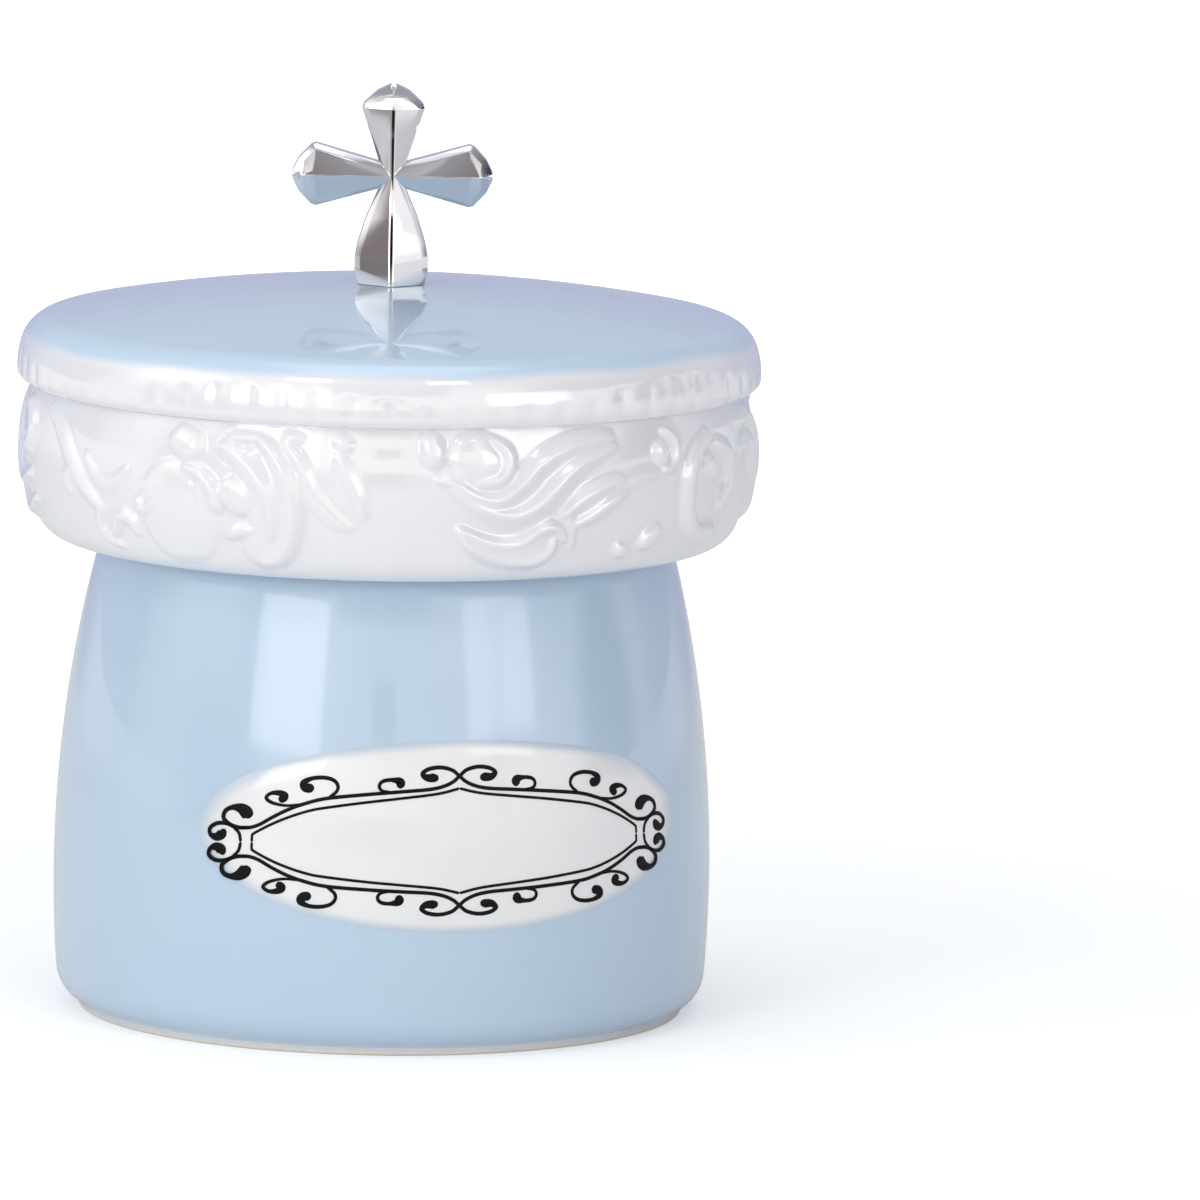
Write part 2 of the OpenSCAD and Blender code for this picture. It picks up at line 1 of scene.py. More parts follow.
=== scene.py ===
"""A small round porcelain box: pale blue jar with a white oval panel, lid with a moulded border.

Lengths are in millimetres until a mesh is made, and in metres in Blender. +Z is up, the front
faces -Y, and the jar stands on the floor at the origin. A profile is a list of (radius, height).
"""
from math import acos, atan2, ceil, cos, degrees, pi, radians, sin, sqrt

import bpy
import numpy as np
from mathutils import Matrix, Vector


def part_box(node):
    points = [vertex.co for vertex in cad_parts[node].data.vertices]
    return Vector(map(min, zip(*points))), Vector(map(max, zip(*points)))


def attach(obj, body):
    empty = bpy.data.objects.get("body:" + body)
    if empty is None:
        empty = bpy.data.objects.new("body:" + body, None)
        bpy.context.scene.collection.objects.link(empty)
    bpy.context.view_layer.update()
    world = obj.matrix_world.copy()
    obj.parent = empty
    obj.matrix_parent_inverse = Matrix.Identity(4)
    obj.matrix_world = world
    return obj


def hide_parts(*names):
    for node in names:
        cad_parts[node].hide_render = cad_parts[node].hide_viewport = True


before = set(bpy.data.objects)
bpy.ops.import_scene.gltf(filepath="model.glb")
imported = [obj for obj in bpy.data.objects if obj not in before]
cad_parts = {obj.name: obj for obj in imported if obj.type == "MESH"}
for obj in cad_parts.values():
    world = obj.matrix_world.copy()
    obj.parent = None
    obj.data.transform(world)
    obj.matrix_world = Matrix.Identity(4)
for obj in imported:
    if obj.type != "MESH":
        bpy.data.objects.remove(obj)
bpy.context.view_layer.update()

MM = 0.001


def cad_box(node):
    """Lowest and highest corner of a CAD node, in millimetres."""
    low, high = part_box(node)
    return low / MM, high / MM


# --- sizes, from the frame where it has them ---------------------------------------------

jar_high = cad_box("jar")[1]
lid_low, lid_high = cad_box("lid")
cross_low, cross_high = cad_box("cross")

JAR_R = jar_high.x
JAR_H = jar_high.z
BELLY_Z = 12.5
BELLY_CURVE = 120
JAR_WALL = 2.4
JAR_BOTTOM = 2.8
BASE_ROUND = 3.2
SHOULDER_ROUND = 4
LIP_ROUND = 1.08
INNER_ROUND = 3
FOOT_R = 27.6
FOOT_W = 3
FOOT_HOLLOW = 1.2
FOOT_STEP = 0.5
FOOT_CHAMFER = 0.3

LABEL_W = 49.8
LABEL_H = 17.3
LABEL_Z = 20.2
LABEL_TURN = 14
LABEL_T = 0.18

LID_R = lid_high.x
SEAT_GAP = 0.05
SEAT_Z = JAR_H + SEAT_GAP
BEAD_Z = 16.8
BEAD_ROUND = 3.5
DOME_RISE = 6.4
BAND_R = LID_R - 0.5
BAND_Z = 9
BAND_CURVE = 20
SKIRT_ROUND = 3
LID_WALL = 2.7
FLANGE_H = SEAT_Z - lid_low.z
FLANGE_GAP = 0.6
FLANGE_T = 2.5
BORDER_T = 0.4
RELIEF_H = 0.8
RELIEF_REPEATS = 2
HOLE_R = 1.6
TOP_LAND = 3.3
ROOF_LAND = 4.0

JAR_SEGMENTS = 288
LID_SEGMENTS = 320
WELD = 0.001


# --- profiles ----------------------------------------------------------------------------

def bearing(start, end):
    return degrees(atan2(end[1] - start[1], end[0] - start[0]))


def arc(centre, radius, start, end, step=4.0):
    """Points on an arc between two angles in degrees, one every step degrees or closer."""
    count = max(2, ceil(abs(end - start) / step))
    angles = [radians(start + (end - start) * i / count) for i in range(count + 1)]
    return [(centre[0] + radius * cos(a), centre[1] + radius * sin(a)) for a in angles]


def meet(a, radius_a, b, radius_b, side):
    """Where two circles meet; side +1 is left of the line from a to b."""
    a, b = Vector(a), Vector(b)
    distance = (b - a).length
    along = (b - a) / distance
    reach = (radius_a ** 2 - radius_b ** 2 + distance ** 2) / (2 * distance)
    off = sqrt(max(0, radius_a ** 2 - reach ** 2))
    return a + along * reach + side * off * Vector((-along.y, along.x))


def rounded(corners, steps=4):
    """A profile through corners (r, z, round), each corner turned into a small arc."""
    points = []
    for i, (r, z, size) in enumerate(corners):
        corner = Vector((r, z))
        if size == 0 or i in (0, len(corners) - 1):
            points.append((r, z))
            continue
        before = (Vector(corners[i - 1][:2]) - corner).normalized() * size
        after = (Vector(corners[i + 1][:2]) - corner).normalized() * size
        for k in range(steps + 1):
            t = k / steps
            p = corner + before * (1 - t) ** 2 + after * t ** 2
            points.append((p.x, p.y))
    return points


belly_c = (JAR_R - BELLY_CURVE, BELLY_Z)


def belly_x(z, inset=0.0):
    """Radius of the jar's wall at height z, inset from its outer face."""
    return belly_c[0] + sqrt((BELLY_CURVE - inset) ** 2 - (z - BELLY_Z) ** 2)


lip_z = JAR_H - LIP_ROUND
lip_c = (belly_x(lip_z, JAR_WALL - LIP_ROUND), lip_z)
mouth_r = lip_c[0] - LIP_ROUND
floor_z = FOOT_HOLLOW + JAR_BOTTOM


def jar_profile():
    """The jar's section from the middle of its underside to the middle of its inside."""
    foot_in = FOOT_R - FOOT_W
    base_z = FOOT_STEP + BASE_ROUND
    base_c = (belly_x(base_z, BASE_ROUND), base_z)
    inner_z = floor_z + INNER_ROUND
    inner_c = (belly_x(inner_z, JAR_WALL + INNER_ROUND), inner_z)
    shoulder_c = meet(belly_c, BELLY_CURVE - SHOULDER_ROUND, lip_c, SHOULDER_ROUND - LIP_ROUND, -1)
    foot_top = base_c[1] - sqrt(BASE_ROUND ** 2 - (FOOT_R - base_c[0]) ** 2)
    foot_angle = bearing(base_c, (FOOT_R, foot_top))
    foot = rounded([
        (0, FOOT_HOLLOW, 0), (foot_in - FOOT_CHAMFER, FOOT_HOLLOW, 0.5), (foot_in, 0, 0.3),
        (FOOT_R, 0, 0.3), (FOOT_R, foot_top, 0)
    ])
    # rings on the flat underside and floor keep their faces short
    rings = (6, 12, 18)
    flat = [(r, FOOT_HOLLOW) for r in rings]
    inside = [(r, floor_z) for r in reversed(rings)]
    return (
        foot[:1] + flat + foot[1:]
        + arc(base_c, BASE_ROUND, foot_angle, bearing(belly_c, base_c))[1:]
        + arc(belly_c, BELLY_CURVE, bearing(belly_c, base_c), bearing(belly_c, shoulder_c), 0.25)[1:]
        + arc(shoulder_c, SHOULDER_ROUND, bearing(belly_c, shoulder_c), bearing(shoulder_c, lip_c))[1:]
        + arc(lip_c, LIP_ROUND, bearing(shoulder_c, lip_c), 180 + bearing(belly_c, lip_c), 8)[1:]
        + arc(belly_c, BELLY_CURVE - JAR_WALL, bearing(belly_c, lip_c), bearing(belly_c, inner_c), 0.25)[1:]
        + arc(inner_c, INNER_ROUND, bearing(belly_c, inner_c), -90, 6)[1:]
        + inside + [(0, floor_z)]
    )


# Heights in the lid's own profiles count from its seat.
bead_c = (LID_R - BEAD_ROUND, BEAD_Z)
dome_drop = (bead_c[0] ** 2 - (DOME_RISE - BEAD_ROUND) ** 2) / (2 * (DOME_RISE - BEAD_ROUND))
dome_c = (0, BEAD_Z - dome_drop)
dome_curve = BEAD_Z + DOME_RISE - dome_c[1]
band_c = (BAND_R - BAND_CURVE, BAND_Z)
groove = meet(band_c, BAND_CURVE, bead_c, BEAD_ROUND, -1)
skirt_c = (
    band_c[0] + sqrt((BAND_CURVE - SKIRT_ROUND) ** 2 - (SKIRT_ROUND - BAND_Z) ** 2),
    SKIRT_ROUND,
)
BORDER_LOW = 1.7
CHANNEL_Z = 1.75
BORDER_PLAY = 0.02
channel_r = band_c[0] + sqrt(BAND_CURVE ** 2 - (BORDER_LOW - BAND_Z) ** 2) - BORDER_T


def lid_profile():
    """The lid's section, round from the land under the cross and back to it."""
    dome_edge = bearing(dome_c, bead_c)
    cavity_r = channel_r - LID_WALL / 2
    flange_r = mouth_r - FLANGE_GAP
    flange_in = flange_r - FLANGE_T
    roof_curve = dome_curve - LID_WALL
    cavity_round, corner_round = 2.5, 1.5
    roof_r = cavity_r - cavity_round
    roof_c = (roof_r, dome_c[1] + sqrt((roof_curve - cavity_round) ** 2 - roof_r ** 2))
    top_land_z = dome_c[1] + sqrt(dome_curve ** 2 - TOP_LAND ** 2)
    roof_land_z = dome_c[1] + sqrt(roof_curve ** 2 - ROOF_LAND ** 2)
    hidden_top = groove[1] - 0.25
    roof_edge = bearing(dome_c, roof_c)
    roof_end = degrees(acos(ROOF_LAND / roof_curve))
    return (
        [(HOLE_R, top_land_z)]
        + arc(dome_c, dome_curve, degrees(acos(TOP_LAND / dome_curve)), dome_edge, 0.25)
        + arc(bead_c, BEAD_ROUND, dome_edge, bearing(bead_c, groove), 3)[1:]
        + [(channel_r, hidden_top), (channel_r, CHANNEL_Z), (skirt_c[0], CHANNEL_Z), (skirt_c[0], 0)]
        + rounded([
            (flange_r + 1, 0, 0), (flange_r, 0, 0.3), (flange_r, -FLANGE_H, 0.6),
            (flange_in, -FLANGE_H, 0.6), (flange_in, LID_WALL, 0.6), (flange_in + 1, LID_WALL, 0)
        ])
        + arc((cavity_r - corner_round, LID_WALL + corner_round), corner_round, -90, 0, 10)
        + arc(roof_c, cavity_round, 0, roof_edge, 8)
        + arc(dome_c, roof_curve, roof_edge, roof_end, 0.5)
        + [(HOLE_R, roof_land_z)]
    )


# --- meshes ------------------------------------------------------------------------------

def put(name, data):
    """A new object, linked to the scene."""
    made = bpy.data.objects.new(name, data)
    bpy.context.scene.collection.objects.link(made)
    return made


def mesh_object(name, points, faces, material, smooth_angle):
    """A new object from points in millimetres, smooth but for edges sharper than the angle."""
    mesh = bpy.data.meshes.new(name)
    mesh.from_pydata([tuple(p) for p in np.asarray(points, float) * MM], [], faces)
    mesh.shade_smooth()
    mesh.set_sharp_from_angle(angle=radians(smooth_angle))
    mesh.update()
    mesh.materials.append(material)
    return put(name, mesh)


def ring_faces(columns, per):
    """Quads between neighbouring columns of per points each, round a ring of columns."""
    return [
        (i * per + j, (i + 1) % columns * per + j,
         (i + 1) % columns * per + (j + 1) % per, i * per + (j + 1) % per)
        for i in range(columns) for j in range(per)
    ]


# --- camera ------------------------------------------------------------------------------

PHOTO_PIXELS = 1200
LENS_PIXELS = 14391
SENSOR = 36.0
CAMERA_PLACE = Vector((0, -1.300, 0.2257))
FOOT_PIXEL = (378.5, 1002.8)
CAMERA_LEAN = 0.0179


def camera_axes(forward):
    """Right and up of a camera that looks along forward and leans by CAMERA_LEAN."""
    level = forward.cross(Vector((0, 0, 1))).normalized()
    upright = level.cross(forward)
    lean = cos(CAMERA_LEAN), sin(CAMERA_LEAN)
    return level * lean[0] + upright * lean[1], upright * lean[0] - level * lean[1]


def make_camera():
    """The photograph's view: a long lens, a little above, the foot's middle on its pixel."""
    data = bpy.data.cameras.new("camera")
    data.sensor_width = SENSOR
    data.lens = LENS_PIXELS / PHOTO_PIXELS * SENSOR
    data.clip_end = 20
    forward = -CAMERA_PLACE.normalized()
    right, up = camera_axes(forward)
    across = (PHOTO_PIXELS / 2 - FOOT_PIXEL[0]) / LENS_PIXELS
    above = (FOOT_PIXEL[1] - PHOTO_PIXELS / 2) / LENS_PIXELS
    forward = (forward + right * across + up * above).normalized()
    right, up = camera_axes(forward)
    camera = put("camera", data)
    turn = Matrix((right, up, -forward)).transposed().to_4x4()
    camera.matrix_world = Matrix.Translation(CAMERA_PLACE) @ turn
    bpy.context.scene.camera = camera


# --- node helper and colours ---------------------------------------------------------------

def rgb(hex_colour):
    """Linear RGBA from an sRGB hex colour."""
    channels = [int(hex_colour[i:i + 2], 16) / 255 for i in (1, 3, 5)]
    linear = [c / 12.92 if c <= 0.04045 else ((c + 0.055) / 1.055) ** 2.4 for c in channels]
    return (*linear, 1.0)


def add(tree, kind, inputs=None, **settings):
    """Adds a node; inputs maps a socket to a value, or to the output or node that feeds it."""
    made = tree.nodes.new(kind)
    for name, value in settings.items():
        setattr(made, name, value)
    for socket, value in (inputs or {}).items():
        if isinstance(value, bpy.types.Node):
            value = value.outputs[0]
        if isinstance(value, bpy.types.NodeSocket):
            tree.links.new(value, made.inputs[socket])
        else:
            made.inputs[socket].default_value = value
    return made


def new_material(name):
    """An empty node material, its tree, and the place on the object that it shades."""
    material = bpy.data.materials.new(name)
    material.use_nodes = True
    tree = material.node_tree
    tree.nodes.clear()
    return material, tree, add(tree, "ShaderNodeTexCoord").outputs["Object"]


def finished(material, shader):
    """The material, with its shader wired to the output."""
    add(material.node_tree, "ShaderNodeOutputMaterial", {"Surface": shader})
    return material


def parts(tree, vector):
    """X, Y and Z of a vector."""
    return add(tree, "ShaderNodeSeparateXYZ", {0: vector}).outputs


def ramp(tree, value, low, high):
    """0 below low, 1 above high, smooth between."""
    return add(tree, "ShaderNodeMapRange", {
        "Value": value, "From Min": low, "From Max": high
    }, interpolation_type="SMOOTHSTEP", clamp=True).outputs["Result"]


def mix_colour(tree, share, a, b):
    return add(tree, "ShaderNodeMix", {0: share, 6: a, 7: b}, data_type="RGBA").outputs[2]


def mix_shader(tree, share, a, b):
    return add(tree, "ShaderNodeMixShader", {0: share, 1: a, 2: b})


def maths(tree, operation, a, b=0.0):
    return add(tree, "ShaderNodeMath", {0: a, 1: b}, operation=operation).outputs[0]


def plus(tree, a, b):
    return maths(tree, "ADD", a, b)


def minus(tree, a, b):
    return maths(tree, "SUBTRACT", a, b)


def times(tree, a, b):
    return maths(tree, "MULTIPLY", a, b)


def noise(tree, where, size_mm, detail=2.0, rough=0.5):
    """Noise whose features are about size_mm across."""
    return add(tree, "ShaderNodeTexNoise", {
        "Vector": where, "Scale": 1 / (size_mm * MM), "Detail": detail, "Roughness": rough
    }).outputs["Fac"]


def bumps(tree, height, strength, depth_mm):
    """A bent normal, from a height that stands for depth_mm at 1."""
    return add(tree, "ShaderNodeBump", {
        "Strength": strength, "Distance": depth_mm * MM, "Height": height
    })


def principled(tree, colour, rough, **more):
    """A Principled shader; more names further inputs, with _ for a space."""
    further = {name.replace("_", " "): value for name, value in more.items()}
    return add(tree, "ShaderNodeBsdfPrincipled", {
        "Base Color": colour, "Roughness": rough, **further
    })


# --- materials -----------------------------------------------------------------------------

GLAZE_IOR = 1.5
# raised above a real glaze's 1.5 to 1.6, because the photograph's highlights on the white are hard
CLEAR_IOR = 1.85
WHITES = rgb("#edecf2"), rgb("#f5f5f8")


def glaze_shader(tree, colour, where, glassy=GLAZE_IOR):
    """Gloss glaze over fired porcelain: a hard mirror coat with the soft pull of a kiln firing."""
    # the melt levels off to long low waves about 9 mm apart, under a finer orange peel
    wave = noise(tree, where, 9, 1.0)
    peel = noise(tree, where, 1.6, 1.0)
    height = plus(tree, wave, times(tree, peel, 0.04))
    bump = bumps(tree, height, 0.35, 0.06)
    return principled(
        tree, colour, 0.28, IOR=GLAZE_IOR, Normal=bump,
        Coat_Weight=1.0, Coat_Roughness=0.03, Coat_IOR=glassy, Coat_Normal=bump,
        Subsurface_Weight=0.12, Subsurface_Radius=(1.0, 0.8, 0.7), Subsurface_Scale=1.2 * MM)


def pale_blue_glaze():
    """Slip-cast porcelain under a pale blue gloss glaze, ground bare on the foot ring."""
    material, tree, where = new_material("porcelain_pale_blue_glaze")
    place = parts(tree, where)
    height = place["Z"]
    # the colour pools and thins by a hair, in clouds about 12 mm wide
    cloud = noise(tree, where, 12, 3.0)
    colour = mix_colour(tree, cloud, rgb("#b8cfe5"), rgb("#c1d6ea"))
    # the glaze runs thin over the lip and the edge above the foot
    thin_lip = ramp(tree, height, (JAR_H - 0.35) * MM, JAR_H * MM)
    thin_foot = ramp(tree, times(tree, height, -1), -1.15 * MM, -0.75 * MM)
    colour = mix_colour(tree, times(tree, thin_lip, 0.35), colour, rgb("#e6edf3"))
    colour = mix_colour(tree, times(tree, thin_foot, 0.55), colour, rgb("#ece9ea"))
    glazed = glaze_shader(tree, colour, where)
    # bisque: the wiped foot ring, chalky and a little stained
    grit = noise(tree, where, 0.25, 3.0)
    bare_colour = mix_colour(tree, grit, rgb("#d9d2c8"), rgb("#efebe4"))
    bare = principled(tree, bare_colour, 0.85, IOR=GLAZE_IOR, Normal=bumps(tree, grit, 0.5, 0.04))
    across = maths(tree, "SQRT", plus(
        tree, times(tree, place["X"], place["X"]), times(tree, place["Y"], place["Y"])))
    low = ramp(tree, times(tree, height, -1), -0.42 * MM, -0.34 * MM)
    wiped = times(tree, low, ramp(tree, across, 24.5 * MM, 24.65 * MM))
    return finished(material, mix_shader(tree, wiped, glazed, bare))


def clear_glaze():
    """White porcelain under clear gloss glaze, as cast: a cool white."""
    material, tree, where = new_material("porcelain_clear_glaze")
    colour = mix_colour(tree, noise(tree, where, 14, 2.0), *WHITES)
    return finished(material, glaze_shader(tree, colour, where, CLEAR_IOR))


def lid_glazes():
    """The lid's two glazes: clear, and pale blue poured on the dome down to a soft wavy line."""
    material, tree, where = new_material("porcelain_two_glazes")
    height = parts(tree, where)["Z"]
    cloud = noise(tree, where, 12, 3.0)
    # the blue is set lighter than the jar's same glaze: painted light, for the light the dome catches from
    # above
    blue = mix_colour(tree, cloud, rgb("#c1d9f0"), rgb("#c9dff4"))
    white = mix_colour(tree, cloud, *WHITES)
    # the line wanders by 0.4 mm each way, slowly, and the colours melt together over about 1 mm
    wander = times(tree, minus(tree, noise(tree, where, 16, 1.0), 0.5), 1.6 * MM)
    level = plus(tree, height, wander)
    line = (SEAT_Z + BEAD_Z + 1.9) * MM
    share = ramp(tree, level, line - 0.45 * MM, line + 0.55 * MM)
    glassy = plus(tree, CLEAR_IOR, times(tree, share, GLAZE_IOR - CLEAR_IOR))
    return finished(material, glaze_shader(tree, mix_colour(tree, share, white, blue), where, glassy))


def fired_panel():
    """White enamel transfer fired into the glaze: opaque, slightly raised, greyer where it thins."""
    material, tree, where = new_material("fired_white_panel")
    cloud = noise(tree, where, 7, 2.0)
    inner = mix_colour(tree, cloud, rgb("#ececee"), rgb("#f3f3f4"))
    edge = add(tree, "ShaderNodeAttribute", attribute_name="rim").outputs["Fac"]
    colour = mix_colour(tree, ramp(tree, edge, 0.0, 1.0), rgb("#c9d6e4"), inner)
    return finished(material, glaze_shader(tree, colour, where))


def black_enamel():
    """Black ceramic ink fired on: solid black with a satin skin, faintly uneven."""
    material, tree, where = new_material("black_fired_enamel")
    colour = mix_colour(tree, noise(tree, where, 0.8, 2.0), rgb("#050506"), rgb("#0e0e10"))
    return finished(material, principled(tree, colour, 0.45, IOR=GLAZE_IOR, Specular_IOR_Level=0.15))


def bright_plating():
    """Polished zinc casting with bright nickel-toned plating: a mirror with a faint hand polish."""
    material, tree, where = new_material("bright_plating_polished")
    # buffing rounds the facets in ripples about 4 mm long and leaves hairlines 0.15 mm apart
    ripple = noise(tree, where, 4, 1.0)
    hair_place = add(tree, "ShaderNodeMapping", {"Vector": where, "Scale": (1, 1, 0.06)})
    hair = noise(tree, hair_place, 0.15, 2.0)
    height = plus(tree, ripple, times(tree, hair, 0.004))
    tone = mix_colour(tree, noise(tree, where, 2.5, 2.0), rgb("#d9d8da"), rgb("#e4e3e5"))
    rough = plus(tree, times(tree, noise(tree, where, 1.2, 3.0), 0.03), 0.025)
    bump = bumps(tree, height, 0.3, 0.04)
    return finished(material, principled(tree, tone, rough, Metallic=1.0, Normal=bump))


def zinc_plated_steel():
    """Machine screw, zinc plated and passivated: satin grey with a faint straw and blue bloom."""
    material, tree, where = new_material("steel_zinc_plated")
    colour = mix_colour(tree, noise(tree, where, 1.5, 2.0), rgb("#a9adb4"), rgb("#b9b6a8"))
    grain = noise(tree, where, 0.12, 2.0)
    rough = plus(tree, times(tree, grain, 0.15), 0.25)
    bump = bumps(tree, grain, 0.3, 0.01)
    return finished(material, principled(tree, colour, rough, Metallic=1.0, Normal=bump))


def pressed_fibre():
    """Vulcanised fibre washer: dense pressed paper, matt tan with fine flecks."""
    material, tree, where = new_material("fibre_pressed")
    fleck = noise(tree, where, 0.3, 4.0, 0.7)
    colour = mix_colour(tree, fleck, rgb("#a98a5c"), rgb("#cdb284"))
    bump = bumps(tree, fleck, 0.4, 0.03)
    return finished(material, principled(tree, colour, 0.8, IOR=1.46, Normal=bump))


# --- the jar, turned by Geometry Nodes -------------------------------------------------------

def geometry_tree(name, inputs, result):
    """An empty Geometry Nodes tree with inputs of the stated kinds, and those inputs."""
    tree = bpy.data.node_groups.new(name, "GeometryNodeTree")
    for label, kind in inputs.items():
        tree.interface.new_socket(label, in_out="INPUT", socket_type="NodeSocket" + kind)
    tree.interface.new_socket(result, in_out="OUTPUT", socket_type="NodeSocketGeometry")
    return tree, add(tree, "NodeGroupInput").outputs


def end_tree(tree, geometry, material):
    """Gives a tree's geometry its material and sends it to the output."""
    real = add(tree, "GeometryNodeRealizeInstances", {"Geometry": geometry})
    painted = add(tree, "GeometryNodeSetMaterial", {"Geometry": real, "Material": material})
    add(tree, "NodeGroupOutput", {0: painted})
    return tree


def turning_tree():
    """Turns a profile, a string of points in the XZ plane, into a closed body of revolution."""
    inputs = {"Profile": "Geometry", "Segments": "Int", "Material": "Material"}
    tree, given = geometry_tree("turned_body", inputs, "Body")
    count = add(tree, "GeometryNodeAttributeDomainSize", {0: given["Profile"]}, component="MESH")
    columns = plus(tree, given["Segments"], 1.0)
    grid = add(tree, "GeometryNodeMeshGrid", {
        "Size X": 1.0, "Size Y": 1.0, "Vertices X": columns, "Vertices Y": count
    }).outputs["Mesh"]
    # the grid's X runs round the axis and its Y along the profile
    position = add(tree, "GeometryNodeInputPosition")
    spot = parts(tree, position)
    last = minus(tree, count, 1.0)
    index = maths(tree, "ROUND", times(tree, plus(tree, spot["Y"], 0.5), last))
    section = parts(tree, add(tree, "GeometryNodeSampleIndex", {
        "Geometry": given["Profile"], "Value": position, "Index": index
    }, data_type="FLOAT_VECTOR", domain="POINT"))
    angle = times(tree, plus(tree, spot["X"], 0.5), 2 * pi)
    turned = add(tree, "ShaderNodeCombineXYZ", {
        "X": times(tree, section["X"], maths(tree, "COSINE", angle)),
        "Y": times(tree, section["X"], maths(tree, "SINE", angle)),
        "Z": section["Z"],
    })
    placed = add(tree, "GeometryNodeSetPosition", {"Geometry": grid, "Position": turned})
    welded = add(tree, "GeometryNodeMergeByDistance", {"Geometry": placed, "Distance": WELD * MM})
    smooth = add(tree, "GeometryNodeSetShadeSmooth", {"Geometry": welded})
    return end_tree(tree, smooth, given["Material"])


def run_nodes(source, tree, name, **inputs):
    """Runs a Geometry Nodes tree on an object and returns its result as a plain new object."""
    modifier = source.modifiers.new(tree.name, "NODES")
    modifier.node_group = tree
    for item in tree.interface.items_tree:
        if item.in_out == "INPUT" and item.name.replace(" ", "_").lower() in inputs:
            modifier[item.identifier] = inputs[item.name.replace(" ", "_").lower()]
    bpy.context.view_layer.update()
    evaluated = source.evaluated_get(bpy.context.evaluated_depsgraph_get())
    mesh = bpy.data.meshes.new_from_object(evaluated)
    source.modifiers.remove(modifier)
    bpy.data.objects.remove(source)
    mesh.name = name
    return put(name, mesh)


def turned_body(name, profile, segments, material):
    """A body of revolution from a profile that starts and ends on the axis."""
    mesh = bpy.data.meshes.new(name + "_profile")
    mesh.from_pydata([(r * MM, 0, z * MM) for r, z in profile], [], [])
    source = put(name + "_profile", mesh)
    made = run_nodes(source, turning_tree(), name, segments=segments, material=material)
    made.data.set_sharp_from_angle(angle=radians(40))
    return made


# --- the label panel and its scroll frame ------------------------------------------------------

def on_wall(s, z, out):
    """The point at s along the wall from the panel's middle, at height z, out from the glaze."""
    angle = s / JAR_R + radians(LABEL_TURN)
    r = belly_c[0] + np.sqrt((BELLY_CURVE + out) ** 2 - (z - BELLY_Z) ** 2)
    return np.stack([r * np.sin(angle), -r * np.cos(angle), z + 0 * s], axis=-1)


def make_panel(material):
    """The oval panel: level with a soft shoulder, let into the wall a little at the back."""
    around, rings = 240, 48
    shoulder, sunk = 1.3, 0.05
    angle = np.arange(around) * 2 * pi / around
    share = np.linspace(0, 1, rings + 1)[1:]
    points, rim = [on_wall(np.array(0.0), LABEL_Z, LABEL_T)], [1.0]
    for t in share:
        # distance to the edge along the short way, in millimetres
        inside = (1 - t) * LABEL_H / 2
        rise = sin(min(1, inside / shoulder) * pi / 2) ** 0.8
        s, z = t * LABEL_W / 2 * np.cos(angle), LABEL_Z + t * LABEL_H / 2 * np.sin(angle)
        points.extend(on_wall(s, z, LABEL_T * rise - 0.01 * (1 - rise)))
        rim.extend([min(1, inside / 0.9)] * around)
    points.extend(on_wall(LABEL_W / 2 * np.cos(angle), LABEL_Z + LABEL_H / 2 * np.sin(angle), -sunk))
    points.append(on_wall(np.array(0.0), LABEL_Z, -sunk))
    rim.extend([0.0] * (around + 1))
    last = len(points) - 1
    faces = []
    for i in range(around):
        k = (i + 1) % around
        faces.append((0, 1 + i, 1 + k))
        for j in range(rings):
            a = 1 + j * around
            faces.append((a + i, a + around + i, a + around + k, a + k))
        faces.append((last, last - around + k, last - around + i))
    made = mesh_object("label_panel_fired", points, faces, material, 60)
    made.data.attributes.new("rim", "FLOAT", "POINT").data.foreach_set("value", rim)
    return made


